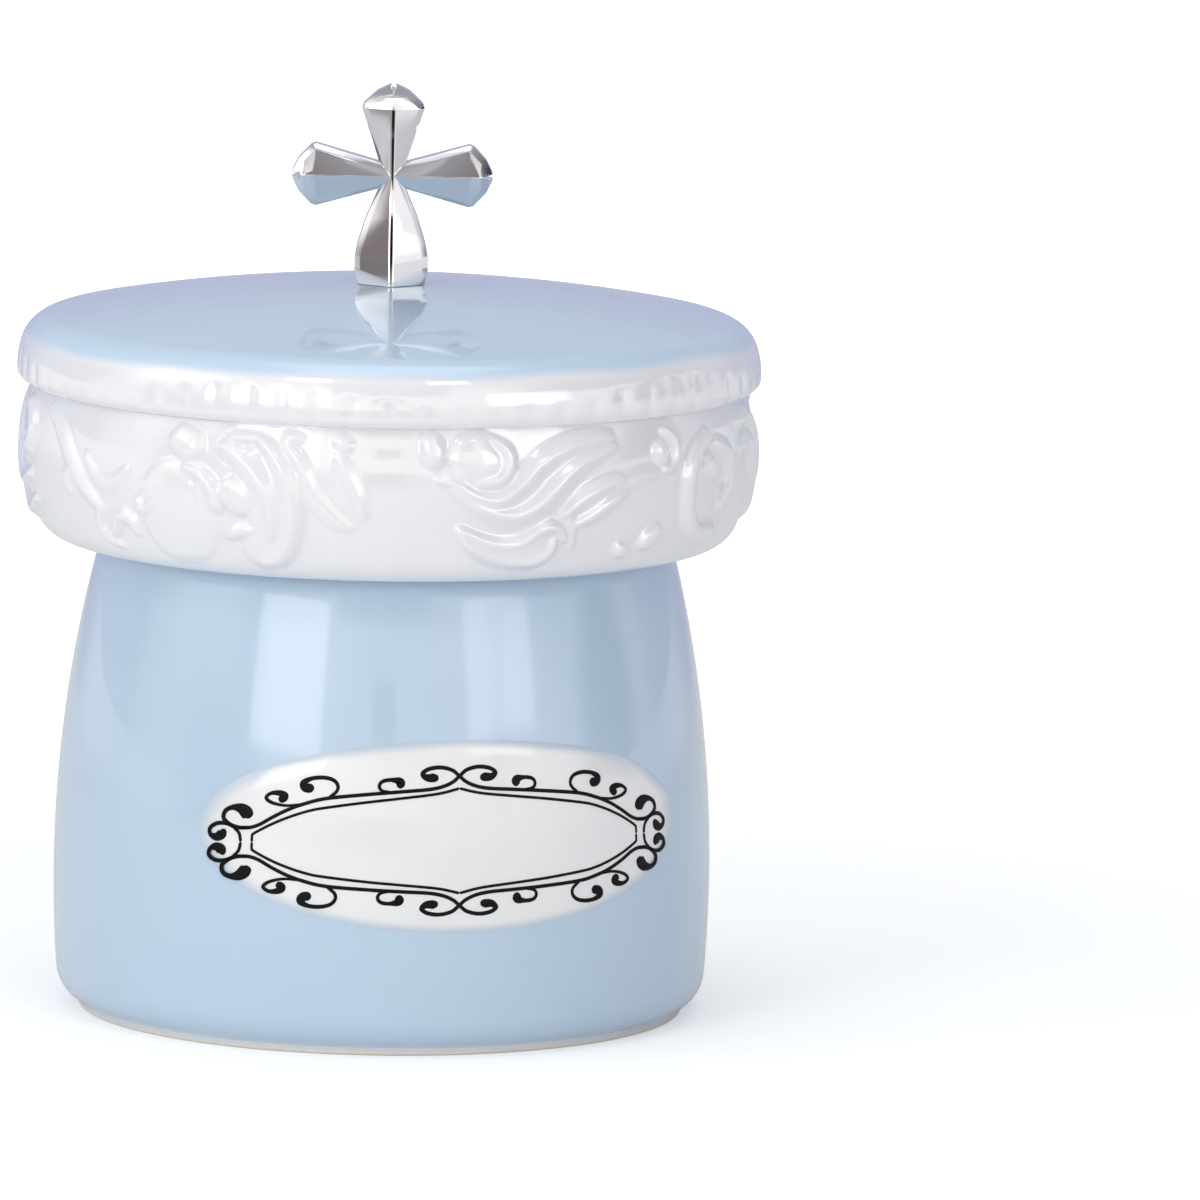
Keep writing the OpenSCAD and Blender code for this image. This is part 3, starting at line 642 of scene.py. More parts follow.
# One quarter of the scroll frame, in millimetres from the panel's middle: points along the wall
# and up, then half the line's width at its start, in the middle and at its end.
FRAME_STROKES = [
    # the outer line, from the middle of the top to the flourish at the end
    [[(0, 5.8), (0.6, 5.3), (1.5, 4.9), (2.8, 4.65), (5, 4.5), (8, 4.3), (12, 3.95), (14, 3.5), (15.5, 3),
      (17, 2.3), (18.3, 1.6), (19.3, 1.3), (20.3, 1.3)], 0.17, 0.17, 0.17],
    # the inner line and its squared end
    [[(0, 4.7), (2, 4.25), (5.2, 3.9), (8.6, 3.55), (12.2, 3.1), (13.6, 2.85), (15.3, 2.35), (17.1, 1.65),
      (18.8, 0.8), (19, 0.5), (19, 0)], 0.13, 0.13, 0.13],
    # scrolls on the outer line
    [[(14.6, 3.4), (15.9, 3.3), (17.2, 3.55), (17.8, 4), (17.3, 4.4), (16.5, 4.4), (16, 4.15), (16.2, 3.9),
      (16.6, 3.95)], 0.1, 0.17, 0.36],
    [[(11.9, 4), (11.2, 4.6), (11.15, 5.15), (11.6, 5.6), (12.5, 5.8), (13.6, 5.7), (14.3, 5.3), (14.1, 4.9),
      (13.3, 4.85)], 0.15, 0.19, 0.42],
    [[(6.3, 4.45), (7.1, 4.6), (7.35, 5), (7.1, 5.4), (6.4, 5.55), (5.6, 5.45), (5.4, 5.2), (5.8, 5.1)],
     0.12, 0.18, 0.42],
    # the pair that meets at the middle
    [[(0, 5.8), (0.7, 6.35), (1.8, 6.6), (2.9, 6.45), (3.4, 6.05), (3, 5.7), (2.3, 5.7), (2, 5.85)],
     0.17, 0.19, 0.4],
    # the flourish with a full teardrop, the curl beyond it, and the bracket between the two halves
    [[(19.3, 1.3), (20.3, 1.3), (21.2, 1.55), (21.9, 2.1), (21.8, 2.75), (21.1, 3.1), (20.2, 3),
      (19.5, 2.5), (19.3, 2.15)], 0.17, 0.22, 0.62],
    [[(20.7, 1.3), (21.6, 1.65), (22.6, 1.65), (23.3, 1.2), (23.2, 0.65), (22.6, 0.45), (22, 0.75),
      (22.2, 1.05)], 0.17, 0.2, 0.5],
    [[(20.9, 1.35), (20.3, 0.8), (20.1, 0)], 0.14, 0.16, 0.16],
]
FRAME_DROOP = 0.7
FRAME_PLACE = (-0.3, LABEL_Z - 0.3)
FRAME_HALF = 20.0
INK_T = 0.05
PEN_STEP = 0.09


def smooth_path(points, step):
    """A Catmull-Rom curve through points, sampled every step millimetres or so."""
    p = [np.array(q, float) for q in points]
    p = [2 * p[0] - p[1]] + p + [2 * p[-1] - p[-2]]
    out = []
    for i in range(1, len(p) - 2):
        count = max(2, ceil(np.linalg.norm(p[i + 1] - p[i]) / step))
        for t in np.arange(count) / count:
            out.append(0.5 * (
                2 * p[i] + (p[i + 1] - p[i - 1]) * t
                + (2 * p[i - 1] - 5 * p[i] + 4 * p[i + 1] - p[i + 2]) * t ** 2
                + (3 * p[i] - p[i - 1] - 3 * p[i + 1] + p[i + 2]) * t ** 3
            ))
    out.append(p[-2])
    return np.array(out)


def width_at(stroke, t):
    """Half width at t from 0 to 1, through the three stated ones."""
    return (1 - t) * (1 - 2 * t) * stroke[1] + 4 * t * (1 - t) * stroke[2] + t * (2 * t - 1) * stroke[3]


def pen_line(stroke):
    """Centre points and half widths of a pen line whose two ends are round."""
    path = smooth_path(stroke[0], PEN_STEP)
    run = np.concatenate([[0], np.cumsum(np.linalg.norm(np.diff(path, axis=0), axis=1))])
    t = run / run[-1]
    plain = stroke[1] + (stroke[2] - stroke[1]) * np.minimum(1, 2 * t)
    # the last third swells into the drop
    swell = np.clip((t - 0.62) / 0.3, 0, 1)
    half = plain + (stroke[3] - stroke[2]) * swell ** 2 * (3 - 2 * swell)
    for end, size in ((run, stroke[1]), (run[-1] - run, stroke[3])):
        half = half * np.sqrt(np.clip(1 - (1 - np.clip(end / size, 0.02, 1)) ** 2, 0, 1))
    return path, half


def frame_tree():
    """Mirrors the quarter's pen lines, sweeps them, flattens them and lays them on the wall."""
    lengths = ("Wall radius", "Wall curve", "Belly height", "Turn", "Middle height",
               "Middle shift", "Droop", "Half length", "Proud", "Ink thickness")
    inputs = {"Lines": "Geometry", **dict.fromkeys(lengths, "Float"), "Material": "Material"}
    tree, given = geometry_tree("scroll_frame", inputs, "Frame")
    whole = add(tree, "GeometryNodeJoinGeometry")
    for x, y in ((1, 1), (-1, 1), (1, -1), (-1, -1)):
        mirrored = add(tree, "GeometryNodeTransform", {"Geometry": given["Lines"], "Scale": (x, y, 1)})
        tree.links.new(mirrored.outputs[0], whole.inputs[0])
    profile = add(tree, "GeometryNodeCurvePrimitiveCircle", {
        "Resolution": 10, "Radius": 1.0
    }, mode="RADIUS")
    swept = add(tree, "GeometryNodeCurveToMesh", {
        "Curve": whole, "Profile Curve": profile, "Fill Caps": True
    })
    if "Scale" in swept.inputs:
        radius = add(tree, "GeometryNodeInputRadius")
        tree.links.new(radius.outputs[0], swept.inputs["Scale"])
    spot = parts(tree, add(tree, "GeometryNodeInputPosition"))
    # ink lies flat: the tube's height is held between its two faces
    thick = given["Ink thickness"]
    held = maths(tree, "MINIMUM", spot["Z"], thick)
    held = maths(tree, "MAXIMUM", held, times(tree, thick, -1.0))
    out = plus(tree, held, given["Proud"])
    share = maths(tree, "DIVIDE", spot["X"], given["Half length"])
    sag = times(tree, times(tree, share, share), given["Droop"])
    z = plus(tree, minus(tree, spot["Y"], sag), given["Middle height"])
    along = plus(tree, spot["X"], given["Middle shift"])
    angle = plus(tree, given["Turn"], maths(tree, "DIVIDE", along, given["Wall radius"]))
    curve = plus(tree, given["Wall curve"], out)
    drop = minus(tree, z, given["Belly height"])
    reach = maths(tree, "SQRT", minus(tree, times(tree, curve, curve), times(tree, drop, drop)))
    r = plus(tree, reach, minus(tree, given["Wall radius"], given["Wall curve"]))
    laid = add(tree, "ShaderNodeCombineXYZ", {
        "X": times(tree, r, maths(tree, "SINE", angle)),
        "Y": times(tree, times(tree, r, maths(tree, "COSINE", angle)), -1.0),
        "Z": z,
    })
    placed = add(tree, "GeometryNodeSetPosition", {"Geometry": swept, "Position": laid})
    return end_tree(tree, placed, given["Material"])


def make_scroll_frame(material):
    """The black scroll frame, printed and fired on the panel."""
    curve = bpy.data.curves.new("pen_lines", "CURVE")
    curve.dimensions = "3D"
    for stroke in FRAME_STROKES:
        path, half = pen_line(stroke)
        line = curve.splines.new("POLY")
        line.points.add(len(path) - 1)
        line.points.foreach_set("co", np.column_stack([path * MM, 0 * half, 1 + 0 * half]).ravel())
        line.points.foreach_set("radius", half * MM)
    return run_nodes(
        put("pen_lines", curve), frame_tree(), "scroll_frame_ink",
        wall_radius=JAR_R * MM, wall_curve=BELLY_CURVE * MM, belly_height=BELLY_Z * MM,
        turn=radians(LABEL_TURN), middle_height=FRAME_PLACE[1] * MM,
        middle_shift=FRAME_PLACE[0] * MM, droop=FRAME_DROOP * MM, half_length=FRAME_HALF * MM,
        proud=LABEL_T * MM, ink_thickness=INK_T * MM, material=material)


# --- the lid -------------------------------------------------------------------------------

GADROONS = 66
GADROON_DEPTH = 0.2
# The bead's front is fuller than its round: widest this far below its middle, this far out.
BEAD_DROP = 1.4
BEAD_PROUD = 0.2
BEAD_FRONT = 8.5


def bead_front(z):
    """Radius of the bead's full front at height z, and of the turn under it into the groove."""
    drop = z - BEAD_Z + BEAD_DROP
    front = LID_R + BEAD_PROUD - BEAD_FRONT + np.sqrt(BEAD_FRONT ** 2 - drop ** 2)
    turn = BEAD_Z - BEAD_DROP - 0.3 - groove[1]
    under = np.clip((BEAD_Z - BEAD_DROP - 0.3 - z) / turn, 0, 1)
    return groove[0] + (front - groove[0]) * np.sqrt(1 - under ** 2)


def gadroon(angle, z):
    """Depth of the valleys between the bead's soft lumps, at an angle from the front."""
    across = np.abs((angle * GADROONS / (2 * pi)) % 1 - 0.5) * 2
    # the lumps come and go as the glaze fills the mould's detail, five times round
    wave = 0.5 + 0.5 * np.cos(5 * (angle + radians(20)))
    reach = np.clip((BEAD_Z - 0.4 + 1.9 * wave - z) / 1.2, 0, 1)
    turn = np.clip((z - groove[1]) / 0.5, 0, 1)
    return GADROON_DEPTH * (0.4 + 0.6 * wave) * across ** 2 * reach * reach * (3 - 2 * reach) * turn


def lid_column(angle, r, z):
    """A section of the lid, its heights counted from the seat, turned to an angle from the front."""
    return np.column_stack([r * sin(angle), -r * cos(angle), z + SEAT_Z])


def make_lid(material):
    """The lid's body: dome, bead with its soft gadroons, seat, flange and hollow."""
    profile = np.array(lid_profile())
    r, z = profile.T
    # only the bead's outer round is lumpy
    outer = (r > groove[0] - 0.5) & (z > groove[1] - 0.01) & (z < BEAD_Z + 2)
    front = np.where(z[outer] < BEAD_Z + 0.95, bead_front(z[outer]), 0)
    angles = np.arange(LID_SEGMENTS * 2) * pi / LID_SEGMENTS
    points = []
    for a in angles:
        lumpy = r.copy()
        lumpy[outer] = np.maximum(r[outer], front) - gadroon(a, z[outer])
        points.append(lid_column(a, lumpy, z))
    faces = ring_faces(len(angles), len(profile))
    return mesh_object("lid_porcelain", np.concatenate(points), faces, material, 40)


# Strokes of the border on the unrolled band: points along the band from the middle of the front
# and up from the seat, half width at the start, in the middle and at the end, share of height,
# and crispness from 0 for a round back to 1 for a sharp crest with hollow flanks.
BORDER_STROKES = [
    # the disc: its body, its rim, the inner line with its dot, and the notch at its left
    [[(-20.2, 6.4), (-19.8, 5)], 3.3, 3.4, 3.4, 0.7, 0],
    [[(-19, 9.9), (-17.6, 9.5), (-16.3, 8.2), (-15.8, 6.4)], 0.35, 0.6, 0.4, 0.95, 0.3],
    [[(-17.3, 9.2), (-17.4, 7.6), (-17.5, 5.4)], 0.35, 0.35, 0.5, 0.85, 0.5],
    [[(-24.4, 6.4), (-23.9, 5.6), (-22.8, 6.3), (-21.8, 7)], 0.4, 0.5, 0.4, 0.9, 0.3],
    # the knob above the disc
    [[(-19.6, 12.2), (-18.6, 11.8)], 1.1, 1.2, 1.15, 0.95, 0],
    [[(-19.6, 13.3), (-17.8, 12.6)], 0.4, 0.45, 0.4, 0.8, 0.3],
    # the crescent beside it: body, inner ridge, outer ridge, third ridge
    [[(-12.6, 10.6), (-10.8, 7.6), (-10.6, 4.8), (-12, 2.8)], 1.2, 1.9, 1.2, 0.55, 0],
    [[(-15.2, 12), (-13.4, 11), (-12, 9.6), (-11, 8.2), (-10.4, 6), (-10.5, 4.2)], 0.5, 0.9, 0.4, 1, 0.35],
    [[(-11.6, 12.8), (-10.4, 11.6), (-9.3, 9.8), (-8.6, 7.4), (-8.7, 5), (-9.6, 2.8),
      (-11.2, 1.8)], 0.4, 0.9, 0.9, 1, 0.4],
    [[(-9.3, 12.5), (-8.4, 11.6), (-7.5, 10.2), (-6.8, 8.6)], 0.3, 0.6, 0.2, 0.75, 0.6],
    # the lobe and the bar inside the crescent, and two short bars at its top
    [[(-14.3, 8), (-13.5, 7.2)], 1.1, 1.2, 1.1, 0.7, 0],
    [[(-14.8, 3.9), (-13.6, 4.5), (-12.2, 4.7)], 0.3, 0.55, 0.3, 0.65, 0.3],
    [[(-14.6, 12.9), (-12.2, 12.9)], 0.3, 0.35, 0.3, 0.6, 0.2],
    [[(-9.2, 13.1), (-8.1, 13.1)], 0.35, 0.35, 0.3, 0.6, 0.2],
    # the plain leaf in the middle of the front
    [[(-7.8, 9.8), (-6.4, 7.6), (-4.8, 6), (-3.2, 5.2)], 0.5, 0.8, 0.3, 0.4, 0.3],
    [[(-4.4, 11.6), (-3.6, 10), (-2.6, 7.8), (-2, 6.2)], 0.4, 0.7, 0.3, 0.6, 0.7],
    [[(-4.4, 13), (-3.6, 12.6)], 0.5, 0.55, 0.4, 0.55, 0],
    # the ball, its rim and its knob
    [[(8.1, 11.6), (8.6, 11)], 2, 2.1, 2, 0.85, 0],
    [[(9.6, 13.2), (10.8, 12.2), (11, 10.8), (10, 9.6), (8.2, 9.4)], 0.3, 0.5, 0.3, 0.95, 0],
    [[(3.9, 13), (4.1, 12.2), (4.2, 11.6)], 0.8, 0.9, 0.7, 0.8, 0],
    # the two long ribs of the leaf
    [[(4.6, 9.7), (6.2, 9.3), (7.8, 8.3), (10, 7.8), (12, 9), (14, 10.9), (16.4, 12.1), (19, 12.8),
      (21.4, 13)], 0.35, 1.1, 0.4, 1, 0.75],
    [[(5.8, 8.8), (7.6, 7.5), (9.6, 6.7), (11.8, 6.4), (13.8, 7.2), (15.4, 8.6), (17, 10.1),
      (19, 11.2), (21.8, 12)], 0.35, 1.1, 0.4, 1, 0.75],
    # the lower leaf: body, upper rib, lower rib, and the short stem beside it
    [[(8.4, 3.7), (11.4, 3), (14.2, 3.4)], 0.5, 0.8, 1.1, 0.55, 0],
    [[(6.6, 5.3), (8.4, 4.3), (10.4, 3.7), (12.4, 3.8), (14, 4.8), (15.2, 5.2), (16.2, 4.9),
      (16.8, 3.9)], 0.3, 0.8, 0.3, 0.9, 0.75],
    [[(6.5, 5.2), (7.4, 3.9), (9, 2.9), (11.2, 2.3), (13.6, 2.1), (15.2, 2.8),
      (15.7, 3.8)], 0.3, 0.8, 0.4, 0.95, 0.6],
    [[(17.1, 6), (17.5, 4.6), (17.6, 3)], 0.5, 0.5, 0.2, 0.5, 0.4],
    # the pair of short ribs, and the faint one that runs on to the hook
    [[(16.4, 6.2), (18.4, 7.6), (20.6, 8.6), (22.6, 9.2)], 0.35, 0.9, 0.3, 0.85, 0.75],
    [[(17.8, 5.3), (19.6, 6.1), (21.2, 7.1), (23, 7.9)], 0.3, 0.9, 0.3, 0.8, 0.75],
    [[(21.6, 8.6), (24.6, 9.1), (27.8, 9.6)], 0.4, 0.6, 0.3, 0.45, 0.3],
    # the hook and its knob, then the two drops
    [[(28.2, 13), (29.2, 12.2), (29.5, 11), (29, 9.9), (27.8, 9.5)], 0.35, 0.6, 0.3, 0.9, 0.3],
    [[(27.4, 11.4), (27.6, 10.8)], 0.7, 0.8, 0.7, 0.75, 0],
    [[(23.2, 2.6), (23.9, 2.4)], 0.6, 0.6, 0.5, 0.65, 0],
    [[(26, 3), (26.9, 3.4), (27.8, 4.2)], 0.5, 0.8, 0.35, 0.75, 0],
    # the next scroll, at the right edge of the front
    [[(34.6, 8.6), (35.2, 6.2)], 1.6, 1.8, 1.6, 0.5, 0],
    [[(34.6, 12), (32.6, 10.6), (31.6, 8.2), (32, 5.2), (34, 3.2), (37, 3)], 0.5, 0.9, 0.6, 0.9, 0.2],
    [[(36.6, 11), (39, 9.6), (39.2, 7), (37.4, 5.6)], 0.5, 1, 0.8, 0.85, 0.2],
    # the long leaf, its knob and the small hook at the left edge of the front
    [[(-38.6, 13), (-36, 11.2), (-33.8, 8.6), (-31.6, 6.4), (-29.4, 5)], 0.5, 1, 0.4, 0.7, 0.5],
    [[(-35, 7.4), (-34.6, 6.2)], 0.6, 0.7, 0.5, 0.6, 0],
    [[(-31.8, 9.6), (-30, 7.8), (-27.6, 7.6), (-25.8, 9)], 0.3, 0.7, 0.3, 0.35, 0.2],
    [[(-29.8, 4.8), (-30.2, 3.4), (-29.2, 2.4), (-27.4, 1.9)], 0.4, 0.5, 0.3, 0.7, 0.3],
    [[(-28.2, 3), (-27.2, 4.5), (-25.8, 4.5), (-25, 3.4)], 0.4, 0.6, 0.4, 0.7, 0.2],
    # the leaf that joins one repeat to the next, out of sight at the side
    [[(42.2, 12.4), (45, 12.8), (48, 10.8), (51, 7.2), (55, 5.4), (59.8, 6.4)], 0.5, 1.1, 0.4, 0.95, 0.6],
    [[(42.4, 10), (45.2, 10.4), (47.8, 8), (50.6, 4.2), (55, 2.6), (60.4, 4.2)], 0.4, 1, 0.3, 0.9, 0.6],
    [[(57.6, 12.6), (60, 12.4), (61.2, 10.8), (60, 9.2), (58.2, 9.4)], 0.5, 0.9, 0.7, 0.9, 0.1],
]
RELIEF_SPAN = 2 * pi * BAND_R / RELIEF_REPEATS
DRAWN_SPAN, DRAWN_LOW, DRAWN_HIGH = 104.3, 1.7, 14.1
BORDER_HIGH = groove[1] - 0.1
BORDER_COLUMNS = 960
BORDER_ROWS = 94
CUT_W = 0.35
CUT_DEPTH = 0.16


def through(points, t):
    """Places at every t from 0 to 1 on a smooth curve through the points."""
    p = np.array(points, float)
    p = np.vstack([2 * p[0] - p[1], p, 2 * p[-1] - p[-2]])
    spans = len(points) - 1
    i = np.minimum(spans - 1, np.floor(t * spans)).astype(int)
    u = (t * spans - i)[:, None]
    a, b, c, d = p[i], p[i + 1], p[i + 2], p[i + 3]
    return b + 0.5 * u * (c - a + u * (2 * a - 5 * b + 4 * c - d + u * (3 * b - a - 3 * c + d)))


def raise_stroke(height, s, z, stroke):
    """Lifts the height map where one stroke stands above it, and cuts a faint line round it."""
    t = np.linspace(0, 1, 49)
    path = through(stroke[0], t)
    path[:, 0] *= RELIEF_SPAN / DRAWN_SPAN
    stretch = (BORDER_HIGH - BORDER_LOW) / (DRAWN_HIGH - DRAWN_LOW)
    path[:, 1] = BORDER_LOW + (path[:, 1] - DRAWN_LOW) * stretch
    half = 1.25 * width_at(stroke, t)
    reach = half.max() + 0.8
    share, crisp = stroke[4:]
    for shift in (-RELIEF_SPAN, 0, RELIEF_SPAN):
        low, high = path.min(0) - reach, path.max(0) + reach
        near = (s + shift > low[0]) & (s + shift < high[0]) & (z > low[1]) & (z < high[1])
        if not near.any():
            continue
        p = np.column_stack([s[near] + shift, z[near]])
        best = np.full(len(p), -1.0)
        cut = np.zeros(len(p))
        for a, b, wa, wb in zip(path, path[1:], half, half[1:]):
            along = b - a
            k = np.clip((p - a) @ along / (along @ along), 0, 1)
            d = np.linalg.norm(p - a - k[:, None] * along, axis=1)
            w = wa + (wb - wa) * k
            u = np.minimum(1, d / w)
            rise = share * ((1 - crisp) * np.sqrt(1 - u * u) + crisp * (1 - u) ** 1.6)
            best = np.maximum(best, np.where(d < w, rise, -1))
            cut = np.maximum(cut, np.exp(-((d - w) / CUT_W) ** 2) * (d >= w))
        ground = height[near]
        lowered = ground - CUT_DEPTH * share * (1 - crisp) * cut * (ground < share)
        height[near] = np.where(best >= 0, np.maximum(ground, best), lowered)


def soften(height, spread_s, spread_z):
    """Blurs the map as glaze softens a cast edge; spreads are in cells."""
    for axis, spread in ((0, spread_s), (1, spread_z)):
        reach = ceil(3 * spread)
        weights = np.exp(-0.5 * (np.arange(-reach, reach + 1) / spread) ** 2)
        weights /= weights.sum()
        total = np.zeros_like(height)
        for k, weight in zip(range(-reach, reach + 1), weights):
            if axis == 0:
                total += weight * np.roll(height, k, axis=0)
            else:
                rows = np.clip(np.arange(height.shape[1]) + k, 0, height.shape[1] - 1)
                total += weight * height[:, rows]
        height = total
    return height


def make_border(material):
    """The moulded scroll border with the skirt below it, and a plain back in the lid's channel."""
    ground = np.array(
        arc(band_c, BAND_CURVE, bearing(band_c, groove), bearing(band_c, skirt_c), 0.1)
        + arc(skirt_c, SKIRT_ROUND, bearing(band_c, skirt_c), -90, 0.5)[1:])
    run = np.concatenate([[0], np.cumsum(np.linalg.norm(np.diff(ground, axis=0), axis=1))])
    at = np.linspace(0, run[-1], BORDER_ROWS + 1)
    ground = np.column_stack([np.interp(at, run, ground[:, k]) for k in (0, 1)])
    slope = np.gradient(ground, axis=0)
    normal = np.column_stack([-slope[:, 1], slope[:, 0]])
    normal /= np.linalg.norm(normal, axis=1)[:, None]

    columns = BORDER_COLUMNS // RELIEF_REPEATS
    along = (np.arange(columns) - columns // 2) * RELIEF_SPAN / columns
    s, z = np.meshgrid(along, ground[:, 1], indexing="ij")
    height = np.zeros(s.shape)
    for stroke in BORDER_STROKES:
        raise_stroke(height, s, z, stroke)
    height = soften(height, 0.9, 1.1)
    fade_top = np.clip((groove[1] - ground[:, 1]) / 0.9, 0, 1)
    fade_low = np.clip((ground[:, 1] - 0.7) / 1.2, 0, 1)
    height *= RELIEF_H * (fade_top * fade_low)[None, :]

    back_r, back_z = channel_r + BORDER_PLAY, CHANNEL_Z - BORDER_PLAY
    back = [(skirt_c[0] + BORDER_PLAY, back_z), (back_r, back_z), (back_r, groove[1] - 0.2)]
    points = []
    for i in range(BORDER_COLUMNS):
        turn = 2 * pi * (i - columns // 2) / BORDER_COLUMNS
        front = ground + normal * height[i % columns][:, None]
        points.append(lid_column(turn, *np.concatenate([front, back]).T))
    faces = ring_faces(BORDER_COLUMNS, len(points[0]))
    return mesh_object("scroll_border_porcelain", np.concatenate(points), faces, material, 50)


# --- the cross -----------------------------------------------------------------------------

ARM_REACH = cross_high.x
CROSS_CENTRE = 10
TOP_REACH = cross_high.z - cross_low.z - CROSS_CENTRE
ARM_W = 2.85
ARM_NECK = 1.25
STEM_W = 3.35
FOOT_HALF = 3
BEVEL_W = 0.55
EDGE_T = 0.75
BEVEL_T = 1.2
RIDGE_T = 1.8
RIDGE_LOW = RIDGE_T * 0.85
FOOT_RIDGE = cross_high.y
CROSS_SOFT = 0.07
RIDGE_FLAT = 0.2
RIDGE_END = 1.7


def tip_stations(reach):
    """Along an arm: distance from the crossing, half width, lean of the bevel, ridge height."""
    return [
        (reach * 0.45, ARM_NECK + (ARM_W - ARM_NECK) * 0.5, 0, RIDGE_T),
        (reach - 2.2, ARM_W, 5, RIDGE_T),
        (reach - 1.75, ARM_W * 0.95, 40, RIDGE_T),
        (reach - 0.6, ARM_W * 0.52, 60, RIDGE_T * 0.98),
        (reach - 0.15, ARM_W * 0.2, 75, RIDGE_T * 0.94),
        (reach, ARM_W * 0.07, 88, RIDGE_T * 0.9),
    ]


def stem_stations():
    """Along the stem, which swells towards its foot while its ridge climbs evenly."""
    shape = ((0.38, 0.52), (0.62, 0.88), (0.76, 1), (0.86, 1))
    rows = [(t, ARM_NECK + (STEM_W - ARM_NECK) * share) for t, share in shape]
    rows += [(0.95, (STEM_W + FOOT_HALF) / 2), (1, FOOT_HALF)]
    return [(CROSS_CENTRE * t, w, 0, RIDGE_LOW * (1 - t) + FOOT_RIDGE * t) for t, w in rows]


def make_cross(material):
    """Four faceted arms lofted out of one crossing, with a polished bevel all round."""
    arms = [tip_stations(TOP_REACH), tip_stations(ARM_REACH), stem_stations(), tip_stations(ARM_REACH)]
    neck_in = ARM_NECK - 1.3 * BEVEL_W

    def turned(p, k):
        c, s = ((1, 0), (0, 1), (-1, 0), (0, -1))[k]
        return (p[0] * c - p[1] * s, p[0] * s + p[1] * c, p[2])

    points = [(0, 0, RIDGE_LOW), (0, 0, -RIDGE_LOW)]
    for k in range(4):
        points += [turned((-ARM_NECK, ARM_NECK, EDGE_T), k), turned((-neck_in, neck_in, BEVEL_T), k),
                   turned((-neck_in, neck_in, -BEVEL_T), k), turned((-ARM_NECK, ARM_NECK, -EDGE_T), k)]
    faces = []
    for k, stations in enumerate(arms):
        left, right = 2 + 4 * k, 2 + 4 * ((k + 3) % 4)
        ring = [left, left + 1, 0, right + 1, right, right + 3, right + 2, 1, left + 2, left + 3]
        for y, w, lean, ridge in stations:
            lean = radians(lean)
            x = max(0.04, w - BEVEL_W * cos(lean))
            inner = y - BEVEL_W * sin(lean)
            ridge_y = y - 1.3 * BEVEL_W * sin(lean)
            first = len(points)
            half = [(-w, y, EDGE_T), (-x, inner, BEVEL_T), (0, ridge_y, ridge),
                    (x, inner, BEVEL_T), (w, y, EDGE_T)]
            points += [turned(p, k) for p in half + [(px, py, -pz) for px, py, pz in reversed(half)]]
            fresh = list(range(first, first + 10))
            for j in range(10):
                n = (j + 1) % 10
                faces.append((ring[j], fresh[j], fresh[n], ring[n]))
            ring = fresh
        faces.append(tuple(reversed(ring)))
    centre_z = cross_low.z + CROSS_CENTRE
    placed = [(x, -t, y + centre_z) for x, y, t in points]
    made = mesh_object("cross_plated", placed, faces, material, 25)
    # the front ridges are buffed to a narrow flat, up to RIDGE_END under the top
    top = (cross_high.z - RIDGE_END) * MM
    spots = [v.co for v in made.data.vertices]
    buffed = [abs(p.x) < 1e-6 and p.y < 0 and p.z < top for p in spots]
    ridges = [all(buffed[v] for v in edge.vertices) for edge in made.data.edges]
    made.data.attributes.new("bevel_weight_edge", "FLOAT", "EDGE").data.foreach_set("value", ridges)
    flat = made.modifiers.new("buffed_ridges", "BEVEL")
    flat.width = RIDGE_FLAT * MM
    flat.segments = 1
    flat.limit_method = "WEIGHT"
    bevel = made.modifiers.new("soft_edges", "BEVEL")
    bevel.width = CROSS_SOFT * MM
    bevel.segments = 2
    bevel.limit_method = "ANGLE"
    bevel.angle_limit = radians(12)
    return made


# --- stage ---------------------------------------------------------------------------------

